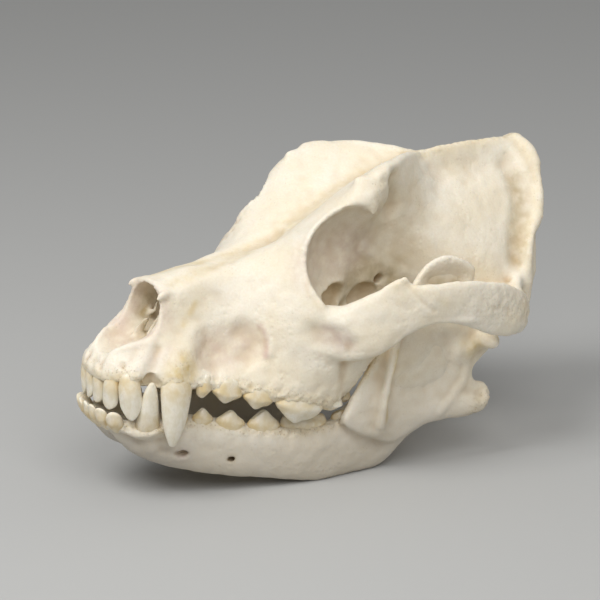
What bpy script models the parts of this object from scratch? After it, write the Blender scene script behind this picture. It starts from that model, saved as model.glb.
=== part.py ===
"""Skull of a large dog with its lower jaw closed, life size, as a still display model.

Lengths are written in millimetres and turned to metres when a mesh is made. The muzzle points to -Y, the
animal's left is +X and up is +Z. The lower jaw stands on z = 0 and the midplane is x = 0.
"""
import math

import bmesh
import bpy
import numpy as np
from mathutils import Matrix, Vector

MM = 0.001

# The gap between two bones, and how far behind the origin the places below are written.
SEAM_GAP = 0.3
MIDDLE_Y = 7.5

# Voxel sizes of the fused bone, from the heavy forms to the thin ones.
HEAVY_VOXEL = 1.9
FINE_VOXEL = 1.25

# Triangles of each bone before its teeth are set.
CRANIUM_TRIANGLES = 7200
JAW_TRIANGLES = 1500

BONE_COLOUR = (0.72, 0.64, 0.50, 1.0)
BONE_ROUGHNESS = 0.55

# Further than the skull reaches from its midplane, either way along it and above the floor.
BEYOND_X, BEYOND_Y, BEYOND_Z = 90, 140, 160


# Curves and interpolation.

def between(before, start, end, after, t):
    """One place on a Catmull-Rom span, for tuples of any equal length."""
    return tuple(
        0.5 * (2 * b + (c - a) * t + (2 * a - 5 * b + 4 * c - d) * t * t
               + (3 * b - a - 3 * c + d) * t ** 3)
        for a, b, c, d in zip(before, start, end, after))


def smooth_path(points, steps, closed=False):
    """The points with steps - 1 more between each two, on a smooth curve."""
    count = len(points)
    found = []
    for i in range(count if closed else count - 1):
        if closed:
            span = [points[(i + k) % count] for k in (-1, 0, 1, 2)]
        else:
            span = [points[min(max(i + k, 0), count - 1)] for k in (-1, 0, 1, 2)]
        found += [between(*span, k / steps) for k in range(steps)]
    if not closed:
        found.append(tuple(points[-1]))
    return found


def mirrored(points):
    return [(-p[0],) + tuple(p[1:]) for p in points]


# Closed solids.

def mesh_object(name, bm):
    """Ends a mesh made in millimetres: faces out, metres, linked to the scene."""
    bmesh.ops.recalc_face_normals(bm, faces=bm.faces)
    bmesh.ops.scale(bm, vec=(MM, MM, MM), verts=bm.verts)
    mesh = bpy.data.meshes.new(name)
    bm.to_mesh(mesh)
    bm.free()
    made = bpy.data.objects.new(name, mesh)
    bpy.context.collection.objects.link(made)
    return made


def skin_rings(name, rings):
    """A closed solid through rings of places, each ring with the same count."""
    bm = bmesh.new()
    edge_loops = []
    for ring in rings:
        circle = bmesh.ops.create_circle(bm, segments=len(ring), radius=1.0)["verts"]
        for vert, place in zip(circle, ring):
            vert.co = Vector(place)
        edges = {edge for vert in circle for edge in vert.link_edges}
        edge_loops.append(list(edges))
    for first, second in zip(edge_loops, edge_loops[1:]):
        bmesh.ops.bridge_loops(bm, edges=first + second)
    for end in (edge_loops[0], edge_loops[-1]):
        bmesh.ops.contextual_create(bm, geom=end)
    return mesh_object(name, bm)


def section_solid(name, sections, steps=3, round_steps=3):
    """A solid across the midplane. Each section is y and the half outline (x, z) from roof to floor."""
    flat = [(y,) + tuple(value for point in outline for value in point) for y, outline in sections]
    rings = []
    for row in smooth_path(flat, steps):
        y = row[0]
        half = [(row[i], row[i + 1]) for i in range(1, len(row), 2)]
        whole = half + [(-x, z) for x, z in reversed(half[1:-1])]
        rings.append([(x, y, z) for x, z in smooth_path(whole, round_steps, closed=True)])
    return skin_rings(name, rings)


# How a tube's ends are rounded: shares of its half thickness past the end, and of its size there.
ROUND_END = ((0.35, 0.85), (0.75, 0.55))


def tube(name, stations, up=(0, 0, 1), steps=3, sides=12, squareness=2.0):
    """A solid along a path. Each station is x, y, z, half width across and half height along up."""
    path = smooth_path(stations, steps)
    places = [Vector(p[:3]) for p in path]
    rings = []
    up = Vector(up)
    for i, (place, station) in enumerate(zip(places, path)):
        ahead = places[min(i + 1, len(places) - 1)] - places[max(i - 1, 0)]
        across = ahead.cross(up).normalized()
        over = across.cross(ahead).normalized()
        ends = ()
        if i == 0:
            ends = tuple((-shift, size) for shift, size in ROUND_END)
        elif i == len(places) - 1:
            ends = ROUND_END
        wide, high = station[3], station[4]
        reach = min(wide, high)
        for shift, size in sorted(ends + ((0.0, 1.0),)):
            centre = place + ahead.normalized() * reach * shift
            ring = []
            for k in range(sides):
                angle = 2 * math.pi * k / sides
                c, s = math.cos(angle), math.sin(angle)
                c = math.copysign(abs(c) ** (2 / squareness), c)
                s = math.copysign(abs(s) ** (2 / squareness), s)
                ring.append(centre + across * wide * size * c + over * high * size * s)
            rings.append(ring)
    return skin_rings(name, rings)


def ball(name, place, radii):
    bm = bmesh.new()
    bmesh.ops.create_icosphere(bm, subdivisions=3, radius=1.0)
    bm.transform(Matrix.Translation(Vector(place)) @ Matrix.Diagonal((*radii, 1.0)))
    return mesh_object(name, bm)


def plate(name, outline, lean, thickness, steps=3):
    """A flat bone whose outline is (y, z). lean gives the x of its middle, thickness its full width there."""
    edge = smooth_path(outline, steps, closed=True)
    bm = bmesh.new()
    rim = [bm.verts.new((0.0, y, z)) for y, z in edge]
    face = bm.faces.new(rim)
    side = bmesh.ops.extrude_face_region(bm, geom=[face])
    outer = [item for item in side["geom"] if isinstance(item, bmesh.types.BMVert)]
    for verts, sign in ((rim, -0.5), (outer, 0.5)):
        for vert in verts:
            y, z = vert.co.y, vert.co.z
            vert.co.x = lean(y, z) + sign * thickness(y, z)
    return mesh_object(name, bm)


def box(name, low, high):
    bm = bmesh.new()
    bmesh.ops.create_cube(bm, size=1.0)
    low, high = Vector(low), Vector(high)
    bmesh.ops.scale(bm, vec=high - low, verts=bm.verts)
    bmesh.ops.translate(bm, vec=(high + low) / 2, verts=bm.verts)
    return mesh_object(name, bm)


def both_sides(make, name, stations, **settings):
    """The same piece on the left and the right."""
    return [make(f"{name}_{side}", places, **settings)
            for side, places in (("left", stations), ("right", mirrored(stations)))]


# Working a mesh.

def apply_modifier(piece, kind, **settings):
    modifier = piece.modifiers.new(kind.lower(), kind)
    for key, value in settings.items():
        setattr(modifier, key, value)
    graph = bpy.context.evaluated_depsgraph_get()
    mesh = bpy.data.meshes.new_from_object(piece.evaluated_get(graph))
    piece.modifiers.clear()
    old = piece.data
    piece.data = mesh
    mesh.name = piece.name
    bpy.data.meshes.remove(old)


def remove(pieces):
    for piece in pieces:
        mesh = piece.data
        bpy.data.objects.remove(piece)
        bpy.data.meshes.remove(mesh)


def boolean(piece, others, operation, solver="EXACT"):
    """Joins or cuts with all the others at once, and removes them."""
    group = bpy.data.collections.new("tools")
    bpy.context.scene.collection.children.link(group)
    for other in others:
        group.objects.link(other)
    apply_modifier(piece, "BOOLEAN", operand_type="COLLECTION", collection=group,
                   operation=operation, solver=solver)
    bpy.data.collections.remove(group)
    remove(others)


def join(name, pieces):
    """All the pieces' faces in one mesh, still overlapping."""
    bm = bmesh.new()
    for piece in pieces:
        bm.from_mesh(piece.data)
    mesh = bpy.data.meshes.new(name)
    bm.to_mesh(mesh)
    bm.free()
    remove(pieces)
    made = bpy.data.objects.new(name, mesh)
    bpy.context.collection.objects.link(made)
    return made


def melt(piece, voxel, smoothing, factor=0.5):
    """Fuses overlapping shells into one surface and softens it."""
    apply_modifier(piece, "REMESH", mode="VOXEL", voxel_size=voxel * MM, adaptivity=0.0)
    if smoothing:
        apply_modifier(piece, "SMOOTH", factor=factor, iterations=smoothing)


def largest_only(piece):
    """Keeps the largest closed surface of a mesh."""
    bm = bmesh.new()
    bm.from_mesh(piece.data)
    unseen = set(bm.verts)
    shells = []
    while unseen:
        seed = unseen.pop()
        shell, stack = {seed}, [seed]
        while stack:
            for edge in stack.pop().link_edges:
                for vert in edge.verts:
                    if vert in unseen:
                        unseen.discard(vert)
                        shell.add(vert)
                        stack.append(vert)
        shells.append(shell)

    def reach(shell):
        spans = [max(v.co[i] for v in shell) - min(v.co[i] for v in shell) for i in range(3)]
        return spans[0] * spans[1] * spans[2]

    keep = max(shells, key=reach)
    loose = [vert for shell in shells if shell is not keep for vert in shell]
    bmesh.ops.delete(bm, geom=loose, context="VERTS")
    bm.to_mesh(piece.data)
    bm.free()


def thin_out(piece, triangles):
    """Brings a mesh down to about this many triangles."""
    piece.data.calc_loop_triangles()
    count = len(piece.data.loop_triangles)
    apply_modifier(piece, "TRIANGULATE")
    apply_modifier(piece, "DECIMATE", ratio=min(1.0, triangles / count), use_collapse_triangulate=True)


def press(piece, path, radius, depth, facing, mirror=True):
    """Moves the surface near a path along its normals, most where it faces that way. Below 0 is inwards."""
    mesh = piece.data
    count = len(mesh.vertices)
    places = np.empty(count * 3)
    normals = np.empty(count * 3)
    mesh.vertices.foreach_get("co", places)
    mesh.vertices.foreach_get("normal", normals)
    places = places.reshape(-1, 3) / MM
    normals = normals.reshape(-1, 3)
    for side in ((1, -1) if mirror else (1,)):
        line = np.array(smooth_path(path, 4) if len(path) > 1 else path, float)[:, :3]
        line = line * (side, 1, 1)
        turned = np.clip(normals @ (np.array(facing, float) * (side, 1, 1)), 0, 1)
        nearest = np.full(count, 1e9)
        starts, ends = (line[:-1], line[1:]) if len(line) > 1 else (line, line)
        for a, b in zip(starts, ends):
            run = b - a
            along = np.clip(((places - a) @ run) / max(run @ run, 1e-9), 0, 1)
            away = places - (a + along[:, None] * run)
            nearest = np.minimum(nearest, np.sqrt((away ** 2).sum(axis=1)))
        weight = np.clip(1 - (nearest / radius) ** 2, 0, 1) ** 2 * turned
        places = places + normals * (weight * depth)[:, None]
    mesh.vertices.foreach_set("co", (places * MM).ravel())
    mesh.update()


# The cranium's heavy forms. Each section is y, then half an outline (x, z) from the roof's middle to the
# floor's middle: roof, roof edge, upper side, side, cheek, tooth line, ridge, palate side, palate.

SNOUT = [
    (-112.3, [(0, 65), (4, 65), (7, 64.5), (9.5, 63.5), (11, 62), (10, 60), (6, 59), (3, 58.5), (0, 58.5)]),
    (-108.5, [(0, 69.5), (5.5, 69.5), (8.5, 68), (12.5, 66), (15.5, 63), (15, 60), (10, 58),
              (5, 58), (0, 58.5)]),
    (-104.0, [(0, 75), (7, 75), (10.5, 72), (14, 69), (19.4, 64), (19.8, 60), (13, 57), (7, 57.5),
              (0, 58.5)]),
    (-98.5, [(0, 83), (9.5, 82.5), (12.5, 77.5), (16, 72), (22.2, 65.5), (23.6, 60), (17, 56),
             (9, 58), (0, 60)]),
    (-94.0, [(0, 89), (11, 88), (13.7, 81.5), (17.8, 74), (23.8, 66), (26, 58.5), (18.5, 56),
             (11, 58), (0, 60)]),
    (-89.0, [(0, 96), (12, 94), (15, 86), (20, 76), (26.5, 66), (28.5, 58), (21, 55.5), (13, 59), (0, 61)]),
    (-83.0, [(0, 99.6), (11.8, 97.2), (15.5, 89), (20.5, 78), (28.5, 68), (31, 57.5), (23, 55),
             (15, 59.5), (0, 62)]),
    (-76.0, [(0, 100.5), (12.5, 98.5), (16, 89), (20, 79), (27, 68), (31, 56.5), (24, 54),
             (17, 58.5), (0, 61)]),
    (-66.0, [(0, 102), (12, 100), (16, 90), (20, 79), (26, 67), (32, 54), (25, 52), (19, 57), (0, 60)]),
    (-52.0, [(0, 103), (11.5, 101.3), (17, 92), (22, 80), (28.5, 66), (34, 50), (28, 48),
             (22, 54), (0, 57.5)]),
    (-40.0, [(0, 104.5), (12.5, 103.5), (21, 95), (28, 84), (34, 68), (38.5, 46.5), (31.5, 44.8),
             (25, 51), (0, 54.5)]),
    (-28.0, [(0, 107), (15, 107.5), (28, 101), (37, 90), (42, 72), (43, 43), (35, 41), (28, 48), (0, 51.5)]),
    (-18.0, [(0, 111), (20, 112.5), (35, 106), (45, 93), (48.5, 77), (44, 41), (35.5, 39),
             (28, 46), (0, 49)]),
    (-8.0, [(0, 115), (20, 117), (34, 110), (44, 95), (50, 78), (43.5, 39.5), (30, 37.2), (24, 43), (0, 47)]),
    (2.0, [(0, 118), (20, 119), (27, 110), (34, 98), (38, 80), (37, 42), (28, 37.2), (22, 42), (0, 46)]),
    (10.0, [(0, 118), (18, 117), (22, 108), (25, 96), (27, 78), (28, 54), (24, 46), (18, 47), (0, 52)]),
]

# The forehead with its two domes: roof in the middle furrow, dome, shoulder, brow edge, wall, low wall and
# floor.
FOREHEAD = [
    (-24.0, [(0, 106.5), (10, 108), (18, 108), (24, 104), (20, 94), (15, 75), (0, 66)]),
    (-12.0, [(0, 112.5), (16, 117), (28, 119.5), (35.5, 115.5), (25, 97), (18, 75), (0, 60)]),
    (-5.0, [(0, 117), (18, 122.5), (29, 124.5), (35, 121.5), (25, 101), (18, 76), (0, 59)]),
    (2.0, [(0, 121), (20, 128), (31, 130.5), (36, 126), (25, 105), (18, 78), (0, 58)]),
    (9.0, [(0, 125), (23, 134), (33, 137), (38, 129), (23, 109), (18, 82), (0, 57)]),
    (17.0, [(0, 129), (26, 140.5), (34, 140.5), (39, 128), (20, 110), (17, 84), (0, 57)]),
    (26.0, [(0, 132), (27, 145.6), (33, 142.4), (33, 131), (19, 112), (17, 86), (0, 58)]),
    (37.0, [(0, 135.8), (22, 146.1), (27.5, 142), (26.5, 131), (18, 113), (17, 86), (0, 58)]),
    (50.0, [(0, 139), (13.5, 145), (18.5, 138.5), (19, 127), (18.5, 112), (19, 88), (0, 58)]),
    (62.0, [(0, 141), (6, 142.3), (10.5, 134), (15, 124), (20, 112), (23, 90), (0, 60)]),
    (70.0, [(0, 138), (2.5, 137), (8, 130), (15, 121), (22, 112), (26, 92), (0, 62)]),
]

# The braincase with the crest along its roof: crest, crest side, crest foot, shoulder, widest, low side and
# floor.
BRAINCASE = [
    (36.0, [(0, 132), (3, 131), (6, 127), (11, 122), (16, 100), (14, 70), (0, 58)]),
    (48.0, [(0, 136), (2.5, 135), (6, 129), (13, 121), (20, 100), (18, 70), (0, 57)]),
    (58.0, [(0, 141.5), (2.6, 140), (6, 131), (15, 120), (26, 98), (23, 68), (0, 56)]),
    (72.0, [(0, 142.8), (2.2, 141), (5.5, 131), (17, 120), (32, 95), (28, 68), (0, 56)]),
    (88.0, [(0, 143.2), (2.2, 141.5), (5.5, 130), (18, 119), (34, 93), (31, 68), (0, 57)]),
    (100.0, [(0, 143.5), (2.4, 142), (6, 130), (18, 118), (33, 94), (34, 68), (0, 58)]),
    (110.0, [(0, 143.5), (2.8, 142), (7, 131), (18, 118), (32, 98), (36, 72), (0, 59)]),
    (117.0, [(0, 143), (3.2, 141.5), (9, 132), (19, 118), (29, 102), (28, 76), (0, 60)]),
    (122.5, [(0, 142), (5, 140), (13, 131), (20, 118), (25, 108), (17, 88), (0, 66)]),
    (126.5, [(0, 141), (7.5, 139), (14.5, 130), (19, 121), (16, 108), (11, 96), (0, 92)]),
    (129.5, [(0, 139), (7, 137), (12.5, 130), (13, 123), (8, 116), (4, 113), (0, 112)]),
]

# Paths of the long forms: x, y, z, half width, half height.
ARCH = [
    (42, -14, 75, 8.0, 13.0),
    (50, -7, 75, 7.0, 13.4),
    (58, 1.5, 79.3, 5.0, 14.0),
    (64, 12, 86, 3.6, 12.6),
    (68.5, 26, 88.3, 3.2, 9.8),
    (70, 40, 87.6, 3.0, 10.2),
    (70, 54, 84.1, 3.0, 11.8),
    (67.5, 68, 78.6, 3.4, 12.8),
    (62, 81, 74.2, 4.6, 11.0),
    (53, 88, 71.5, 7.0, 9.5),
    (38, 88, 73, 10.0, 8.5),
]
CHEEK_FOOT = [(37, -9, 46, 6.0, 6.0), (41, -2, 51, 5.5, 6.5), (45.5, 1, 60, 6.0, 7.5), (52, 2, 71, 6.0, 8.5)]
CHEEK_TUBER = [
    (36, -4, 42, 4.0, 5.0), (39.5, 0.5, 46.5, 3.6, 5.0), (43, 3.8, 54, 3.6, 5.0), (47.5, 7.5, 63, 3.4, 5.0),
]
ARCH_PEAK = [(62, 9, 90, 2.4, 5.0), (64, 13.5, 97, 2.2, 4.0), (65, 15, 102, 1.8, 2.4)]
ARCH_ROOT_RIDGE = [
    (58, 84, 78, 2.5, 4.0), (48, 92, 78, 3.0, 4.0), (38, 100, 80, 3.0, 4.0), (37, 107, 79, 3.0, 5.0),
]
BROW_KNOB = [
    (31, 23, 139, 4.0, 4.5), (34.5, 20.5, 133, 4.2, 4.2), (37, 17.8, 127.5, 3.4, 3.4),
    (37.8, 17, 124, 1.8, 1.8),
]
GLENOID = [(34, 76, 68, 6.0, 5.0), (46, 75, 69, 7.0, 4.0), (58, 74, 70, 6.0, 4.0)]
GLENOID_STOP = [(38, 81, 66, 5.0, 3.0), (40, 81.5, 58, 6.0, 2.4), (41, 81, 53, 4.0, 1.6)]

NUCHAL_RIM = [
    (0, 125.5, 139.5), (8, 126.8, 137.5), (14, 127.6, 130), (18, 126.8, 122), (22.5, 123.8, 115),
    (26.5, 120.4, 108), (31.5, 112.2, 100.5), (35.6, 106.8, 89), (37, 106.2, 78), (35.5, 106.2, 69),
    (33, 105, 61),
]
NUCHAL_HALF_WIDTH = 2.6
NUCHAL_HALF_DEPTH = 3.1
CONDYLE = [
    (8, 113, 57, 5.0, 5.0), (14, 117.5, 62, 6.0, 6.5), (16.5, 118, 70, 5.0, 6.5), (14, 116, 77, 3.5, 4.0),
]
PARACONDYLAR = [(30, 107, 64, 5.0, 7.0), (29, 108, 57, 3.2, 5.0), (27.5, 108.5, 51, 2.0, 3.2)]
BULLA = ((20, 87, 58), (10.5, 11.0, 10.5))
SKULL_BASE = [(0, 20, 60, 9.0, 7.0), (0, 50, 60, 9.0, 6.0), (0, 80, 60, 11.0, 5.0), (0, 106, 60, 11.0, 5.0)]
PTERYGOID = [
    (-4.0, 39.0), (2.0, 37.0), (12.0, 43.0), (24.0, 47.0), (34.0, 48.5), (40.0, 45.0),
    (43.0, 50.0), (44.0, 60.0), (30.0, 74.0), (8.0, 72.0), (-4.0, 60.0),
]
PTERYGOID_X = 13.5
PTERYGOID_THICKNESS = 3.4

# Shallow hollows pressed into the bone: path, radius, depth. A hollow is pressed from one way only, so that
# a thin rim keeps its thickness.
BACKWARDS, OUTWARDS = (0, 1, 0), (1, 0, 0)
NECK_HOLLOWS = [
    ([(11, 127, 118), (15, 120, 102), (15, 115, 88)], 15.0, -7.5),
    ([(0, 127, 116), (0, 124, 100), (0, 120, 88)], 9.0, -3.5),
]

# Hollows cut from the cranium. The nose opening is cut off in profile (y, z), then hollowed.
NOSE_STEP = [
    (-82.2, 106.0), (-81.8, 98.5), (-83.6, 90.0), (-85.2, 84.5), (-88.5, 79.6), (-92.5, 77.2), (-98.5, 75.6),
    (-104.0, 72.8), (-107.5, 69.2), (-110.5, 65.2), (-115.0, 62.0), (-124.0, 66.0), (-124.0, 100.0),
    (-110.0, 110.0),
]
NOSE_STEP_WIDTH = 70.0
NOSE_HOLLOW = [
    (0, -112, 84, 5.5, 13.0), (0, -103, 82, 8.8, 12.5), (0, -95, 83, 11.2, 12.0), (0, -88, 84.5, 12.6, 12.6),
    (0, -80, 85, 12.4, 13.0), (0, -66, 83, 11.0, 13.0), (0, -52, 80, 8.0, 9.0),
]
ORBIT = ((45.5, 4, 105), (27.0, 24.5, 27.0))
CANINE_NOTCH = ((26.5, -94.2, 58.8), (5.2, 3.9, 5.6))
CHOANAE = [(0, 64, 56, 9.0, 7.0), (0, 44, 56, 10.0, 9.0), (0, 26, 54, 10.5, 9.0), (0, 12, 50, 10.0, 6.0)]
CRANIAL_HOLLOW = [
    (0, 130, 73, 9.0, 8.0), (0, 116, 74, 9.8, 9.0), (0, 108, 82, 21.0, 18.5), (0, 99, 89, 28.0, 25.5),
    (0, 86, 91.5, 30.0, 27.5), (0, 72, 92.5, 27.8, 27.0), (0, 58, 94, 22.0, 22.5), (0, 47, 97, 13.0, 14.0),
]


def nuchal_rim():
    """The rugged rim round the back of the skull, as one thick strip for each side."""
    stations = [(x, y, z, NUCHAL_HALF_WIDTH, NUCHAL_HALF_DEPTH) for x, y, z in NUCHAL_RIM]
    return both_sides(tube, "nuchal", stations, up=(0, 1, 0.2))


def cranium():
    heavy = [
        section_solid("snout", SNOUT),
        section_solid("forehead", FOREHEAD),
        section_solid("braincase_core", BRAINCASE),
        tube("base", SKULL_BASE),
        *both_sides(tube, "condyle", CONDYLE, up=(0, 1, 0)),
    ]
    bone = join("cranium", heavy)
    melt(bone, HEAVY_VOXEL, 6)
    (x, y, z), radii = ORBIT
    boolean(bone, [ball("orbit", (x * side, y, z), radii) for side in (1, -1)], "DIFFERENCE")
    thin = [
        *both_sides(tube, "arch", ARCH, squareness=2.6),
        *both_sides(tube, "arch_peak", ARCH_PEAK, up=(0.3, 1, 0)),
        *both_sides(tube, "cheek_foot", CHEEK_FOOT, up=(0, 1, 0)),
        *both_sides(tube, "cheek_tuber", CHEEK_TUBER, up=(0, 1, 0)),
        *both_sides(tube, "root_ridge", ARCH_ROOT_RIDGE),
        *both_sides(tube, "brow_knob", BROW_KNOB, up=(0, 1, 0.2)),
        *both_sides(tube, "glenoid", GLENOID),
        *both_sides(tube, "glenoid_stop", GLENOID_STOP, up=(0, 1, 0)),
        *both_sides(tube, "paracondylar", PARACONDYLAR, up=(0, 1, 0)),
        *nuchal_rim(),
    ]
    for side in (1, -1):
        (x, y, z), radii = BULLA
        thin.append(ball("bulla", (x * side, y, z), radii))
        thin.append(plate("pterygoid", PTERYGOID, lambda y, z, s=side: s * PTERYGOID_X,
                          lambda y, z: PTERYGOID_THICKNESS))
    bone = join("cranium", [bone] + thin)
    melt(bone, FINE_VOXEL, 3)
    for path, radius, depth in NECK_HOLLOWS:
        press(bone, path, radius, depth, BACKWARDS, mirror=path[0][0] != 0)
    hollows = [
        plate("nose_step", NOSE_STEP, lambda y, z: 0.0, lambda y, z: NOSE_STEP_WIDTH, steps=2),
        tube("nose_hollow", NOSE_HOLLOW, squareness=2.3),
        tube("choanae", CHOANAE),
        tube("cranial_hollow", CRANIAL_HOLLOW, sides=16),
    ]
    (x, y, z), radii = CANINE_NOTCH
    hollows += [ball("canine_notch", (x * side, y, z), radii) for side in (1, -1)]
    boolean(bone, hollows, "DIFFERENCE")
    melt(bone, FINE_VOXEL, 2)
    return bone


# The lower jaw: x, y, top z, bottom z and half width of the body of the left half.
JAW_BODY = [
    (4.0, -106.6, 40.8, 36.6, 4.4),
    (6.0, -103.0, 40.2, 32.0, 6.4),
    (8.0, -97.5, 39.6, 25.4, 7.8),
    (11.0, -90.0, 39.0, 19.2, 10.0),
    (14.5, -80.0, 39.3, 14.4, 10.0),
    (19.0, -70.0, 38.0, 11.0, 7.8),
    (23.5, -58.0, 34.8, 8.2, 6.6),
    (28.0, -42.0, 31.0, 5.2, 6.4),
    (31.7, -26.0, 27.8, 1.9, 6.6),
    (33.3, -14.0, 26.8, -0.5, 6.7),
    (34.0, -2.0, 28.2, -0.9, 6.7),
    (34.4, 8.0, 33.0, -0.9, 6.3),
    (34.9, 15.5, 37.0, -0.4, 5.8),
    (36.6, 22.0, 37.0, 4.6, 5.5),
    (40.5, 31.0, 35.0, 13.6, 5.0),
    (45.0, 44.0, 34.0, 20.4, 4.2),
    (48.0, 58.0, 33.0, 21.6, 3.6),
    (50.5, 66.0, 32.0, 22.0, 3.2),
]
JAW_RIM = [
    (0, -108.6, 39.0, 2.6, 2.3), (7, -107.4, 38.8, 2.7, 2.4), (13.0, -104.2, 38.4, 2.9, 2.7),
    (17.8, -99.6, 36.8, 3.5, 3.4), (20.5, -93.5, 35.8, 4.2, 4.0), (21.8, -86.5, 36.3, 4.2, 3.8),
    (21.2, -78.0, 36.8, 3.6, 3.4),
]
RAMUS = [
    (-2.0, 27.0), (0.5, 36.0), (5.5, 46.0), (12.0, 57.0), (20.0, 70.0), (29.0, 87.0),
    (39.0, 99.5), (48.0, 103.7),
    (58.0, 101.0), (66.0, 93.5), (63.5, 83.0), (62.0, 73.0), (69.0, 66.0), (77.0, 58.6), (75.4, 52.6),
    (72.0, 49.6), (69.0, 45.6), (67.4, 41.0), (69.0, 37.8), (73.6, 36.6), (76.2, 33.0), (75.6, 27.0),
    (72.4, 22.6), (64.0, 20.8), (50.0, 21.2), (36.0, 20.0), (22.0, 14.6),
]
JAW_CONDYLE = [
    (41, 72, 60.5, 5.0, 4.0), (50, 71, 61, 5.6, 4.8), (57.5, 70.2, 60.2, 5.0, 4.2), (61, 70, 59.8, 3.0, 3.0),
]
JAW_NECK = [(49, 56, 52, 4.0, 6.0), (49.5, 66, 58, 4.5, 4.5)]
JAW_RIDGE = [
    (44.5, 17.0, 22.0, 3.5, 3.5), (48.0, 16.5, 36.0, 3.5, 3.5), (49.5, 18.5, 52.0, 3.2, 3.2),
    (50.0, 22.0, 67.0, 2.4, 2.6), (49.5, 32.0, 86.0, 1.8, 2.0),
]
JAW_HOOK = [
    (48, 56, 24.8, 3.0, 3.4), (50, 65, 24.9, 3.0, 3.4), (51.3, 71, 27.2, 2.6, 3.4),
    (51.8, 73.2, 31.4, 1.8, 2.2),
]


# The shallow hollow of the chewing muscle on the ramus: path, radius, depth.
MASSETER_HOLLOW = ([(51, 32, 46), (52, 46, 50)], 20.0, -1.8)


def ramus_x(y, z):
    """The middle of the ramus, which leans out upwards and backwards."""
    return 40.4 + 0.075 * y + 0.045 * z


def ramus_thickness(y, z):
    """Thinner towards the top."""
    return 5.2 - 0.022 * (z - 20)


def lower_jaw(name, side):
    body = [(x, y, (top + low) / 2, half, (top - low) / 2) for x, y, top, low, half in JAW_BODY]
    pieces = [
        tube("jaw_body", body, squareness=2.5, sides=16),
        tube("jaw_rim", JAW_RIM),
        plate("ramus", RAMUS, ramus_x, ramus_thickness),
        tube("jaw_condyle", JAW_CONDYLE),
        tube("jaw_neck", JAW_NECK),
        tube("jaw_ridge", JAW_RIDGE, up=(0, 1, 0)),
        tube("jaw_hook", JAW_HOOK),
    ]
    bone = join(name, pieces)
    melt(bone, FINE_VOXEL, 4)
    press(bone, *MASSETER_HOLLOW, OUTWARDS, mirror=False)
    thin_out(bone, JAW_TRIANGLES)
    if side < 0:
        bm = bmesh.new()
        bm.from_mesh(bone.data)
        bmesh.ops.scale(bm, vec=(-1, 1, 1), verts=bm.verts)
        bmesh.ops.reverse_faces(bm, faces=bm.faces)
        bm.to_mesh(bone.data)
        bm.free()
    low, high = sorted((side * SEAM_GAP / 2, side * BEYOND_X))
    half_space = box("half", (low, -BEYOND_Y, 0), (high, BEYOND_Y, BEYOND_Z))
    boolean(bone, [half_space], "INTERSECT")
    largest_only(bone)
    return bone


# The teeth. A row is the line of the necks, x, y, z. A cheek tooth is its y, length along the row, width,
# crown height and its cusps from the front: place along the crown from -1 to 1, and share of the height.

UPPER_ROW = [
    (29.0, -76.0, 55.6), (29.3, -70.0, 54.4), (31.0, -58.0, 50.6), (34.3, -42.5, 46.2), (39.2, -25.0, 41.4),
    (37.5, -14.0, 39.2), (35.0, -6.0, 38.4), (33.0, 2.5, 38.6), (32.0, 6.0, 39.0),
]
UPPER_CHEEK = {
    "p1": (-70.0, 8.6, 5.2, 6.8, ((-0.1, 1.0), (0.55, 0.45))),
    "p2": (-58.6, 15.0, 6.4, 7.6, ((-0.62, 0.36), (-0.08, 1.0), (0.45, 0.46), (0.72, 0.4))),
    "p3": (-43.8, 15.4, 7.0, 8.4, ((-0.62, 0.36), (-0.08, 1.0), (0.38, 0.42), (0.68, 0.5))),
    "p4": (-24.8, 23.8, 9.4, 12.4, ((-0.72, 0.42), (-0.12, 1.0), (0.2, 0.6), (0.5, 0.64), (0.8, 0.5))),
    "m1": (-6.8, 12.5, 15.5, 5.6, ((-0.5, 0.95), (0.0, 0.7), (0.5, 0.9))),
    "m2": (2.6, 7.0, 11.0, 4.2, ((-0.4, 0.95), (0.4, 0.8))),
}
LOWER_ROW = [
    (22.0, -76.5, 38.0), (23.0, -67.0, 36.6), (26.6, -55.0, 33.4), (29.6, -40.0, 30.0), (31.0, -22.0, 26.8),
    (32.5, -8.0, 26.4), (34.5, 3.0, 29.4), (37.0, 10.0, 33.2),
]
LOWER_CHEEK = {
    "p1": (-76.5, 5.0, 4.0, 4.6, ((-0.4, 0.8), (0.2, 1.0))),
    "p2": (-67.2, 10.8, 5.2, 7.4, ((-0.5, 0.5), (-0.1, 1.0), (0.5, 0.42))),
    "p3": (-54.8, 14.6, 6.0, 8.8, ((-0.6, 0.42), (-0.04, 1.0), (0.4, 0.46), (0.7, 0.4))),
    "p4": (-38.9, 16.8, 6.8, 11.2, ((-0.62, 0.42), (-0.1, 1.0), (0.4, 0.48), (0.72, 0.4))),
    "m1": (-18.0, 24.5, 8.4, 13.0, ((-0.72, 0.6), (-0.42, 0.72), (-0.1, 1.0), (0.25, 0.42), (0.68, 0.34))),
    "m2": (0.6, 9.5, 7.0, 3.6, ((-0.4, 1.0), (0.4, 0.8))),
    "m3": (8.6, 4.6, 4.6, 2.4, ((-0.3, 1.0), (0.4, 0.8))),
}
MOLARS = ("m1", "m2", "m3")
CHEEK_ROOT = 7.0
UPPER_AXIS = (0, -0.26, -0.965)
LOWER_AXIS = (0, 0.12, 0.99)

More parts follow.
